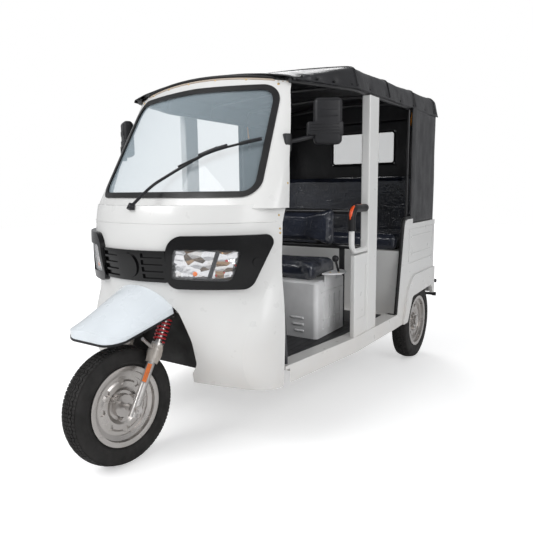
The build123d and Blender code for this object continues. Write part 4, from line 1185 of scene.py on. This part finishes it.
# Rubber frame round the rear curtain's pane, and a cord down each curtain's front edge
def makeCurtainTrim():
    lowX, highX, lowZ, highZ = curtain["pane"]
    r, y = curtain["paneCorner"], curtain["rear"] - 0.0035
    corners = ((highX - r, highZ - r), (lowX + r, highZ - r), (lowX + r, lowZ + r), (highX - r, lowZ + r))
    points = []
    for index, (x, z) in enumerate(corners):
        for i in range(5):
            a = math.radians(90 * index + 22.5 * i)
            points.append((x + r * math.cos(a), y, z + r * math.sin(a)))
    bead("paneFrame", points, 0.0065, "black_rubber", closed=True, bend=False)
    for side, sideName in sides:
        x, y = side * (curtain["half"] - 0.004), curtain["front"] + 0.003
        line = [(x, y, 0.952 + 0.648 * i / 12) for i in range(13)]
        bead("curtainCord" + sideName, line, 0.0042, "canopy_vinyl")


makeCurtainTrim()


# Assist straps: an orange webbing that carries a wrapped hand loop
strap = {
    "places": [(0.617, 0.812, 1.588), (0.604, 0.806, 1.505), (0.596, 0.802, 1.412)],
    "webbing": 0.0062, "grip": 0.0105,
}


def makeStraps():
    for side, sideName in sides:
        top, middle, foot = (Vector((side * x, y, z)) for x, y, z in strap["places"])
        webbing = [top, top.lerp(middle, 0.5), middle]
        piece = bead("strapWebbing" + sideName, webbing, strap["webbing"], "amber_reflector", strapWebbing)
        if side > 0:
            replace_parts(piece, "assist_straps")
        grip = [middle, middle.lerp(foot, 0.5), foot]
        bead("strapGrip" + sideName, grip, strap["grip"], "wrapped_grip", filmGrip)


makeStraps()

# Mouldings on the driver's seat box: a waist line, a lower panel line and three slanted ribs
def makeBoxMouldings():
    low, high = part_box("driver_seat_box")
    tall = high.z - low.z
    for side, sideName in sides:
        x = side * (high.x + 0.0004)
        for name, share, start in (("Waist", 0.80, 0.05), ("Panel", 0.30, 0.07)):
            z = low.z + tall * share
            points = [(x, low.y + start, z), (x, (low.y + high.y) / 2, z), (x, high.y - 0.035, z)]
            bead("box" + name + sideName, points, 0.0030, "body_plastic")
        for i in range(3):
            y, z = low.y - 0.0002, low.z + 0.035 + 0.034 * i
            outer = side * (high.x - 0.075)
            inner = side * (high.x - 0.150 + 0.012 * (2 - i))
            points = [(outer, y, z), ((outer + inner) / 2, y, z), (inner, y, z)]
            bead("boxRib%s%d" % (sideName, i + 1), points, 0.0065, "body_plastic")


makeBoxMouldings()
print("stage: canopy trim")

# Studio: pale floor and soft light
# glow: near and far distance over the floor, and what the camera sees it give off there
studio = {
    "floor": 14.0, "glow": (2.4, 5.5, 0.42, 1.0), "key": 210.0, "fill": 95.0, "rim": 90.0, "world": 0.42,
}


def makeStudio():
    bm = bmesh.new()
    bmesh.ops.create_grid(bm, x_segments=1, y_segments=1, size=studio["floor"])
    mesh = bpy.data.meshes.new("floor")
    bm.to_mesh(mesh)
    bm.free()
    floor = bpy.data.objects.new("floor", mesh)
    scene.collection.objects.link(floor)
    mat = newFinish("paleFloor", (0.86, 0.86, 0.86), 0.75)
    shader = shaderOf(mat)
    path = place(mat, "ShaderNodeLightPath")
    glow = place(mat, "ShaderNodeMath", operation="MULTIPLY")
    # Far from the vehicle the floor brightens to the backdrop's white
    coords = place(mat, "ShaderNodeTexCoord")
    away = place(mat, "ShaderNodeVectorMath", operation="LENGTH")
    join(mat, coords.outputs["Object"], away.inputs[0])
    reach = place(mat, "ShaderNodeMapRange")
    for key, value in zip(("From Min", "From Max", "To Min", "To Max"), studio["glow"]):
        reach.inputs[key].default_value = value
    join(mat, away.outputs["Value"], reach.inputs["Value"])
    join(mat, reach.outputs["Result"], glow.inputs[1])
    join(mat, path.outputs["Is Camera Ray"], glow.inputs[0])
    shader.inputs["Emission Color"].default_value = (1, 1, 1, 1)
    join(mat, glow.outputs[0], shader.inputs["Emission Strength"])
    mesh.materials.append(mat)
    for name, spot, size, power in (
        ("keyLight", (-1.6, -4.6, 4.4), 3.2, studio["key"]),
        ("fillLight", (4.6, -1.6, 2.8), 3.0, studio["fill"]),
        ("backLight", (-2.4, 4.4, 3.6), 2.6, studio["rim"]),
    ):
        data = bpy.data.lights.new(name, "AREA")
        data.energy = power
        data.size = size
        lamp = bpy.data.objects.new(name, data)
        lamp.location = spot
        lamp.rotation_euler = (Vector((0, 0, 0.8)) - Vector(spot)).to_track_quat("-Z", "Y").to_euler()
        scene.collection.objects.link(lamp)
    world = bpy.data.worlds.new("studio")
    world.use_nodes = True
    scene.world = world
    tree = world.node_tree
    base = tree.nodes["Background"]
    base.inputs["Color"].default_value = (0.97, 0.98, 1.0, 1)
    base.inputs["Strength"].default_value = studio["world"]
    seen = tree.nodes.new("ShaderNodeBackground")
    seen.inputs["Color"].default_value = (1, 1, 1, 1)
    seen.inputs["Strength"].default_value = 1.0
    path = tree.nodes.new("ShaderNodeLightPath")
    mix = tree.nodes.new("ShaderNodeMixShader")
    tree.links.new(path.outputs["Is Camera Ray"], mix.inputs["Fac"])
    tree.links.new(base.outputs[0], mix.inputs[1])
    tree.links.new(seen.outputs[0], mix.inputs[2])
    tree.links.new(mix.outputs[0], tree.nodes["World Output"].inputs["Surface"])


makeStudio()
scene.view_settings.view_transform = "Standard"
print("stage: studio")
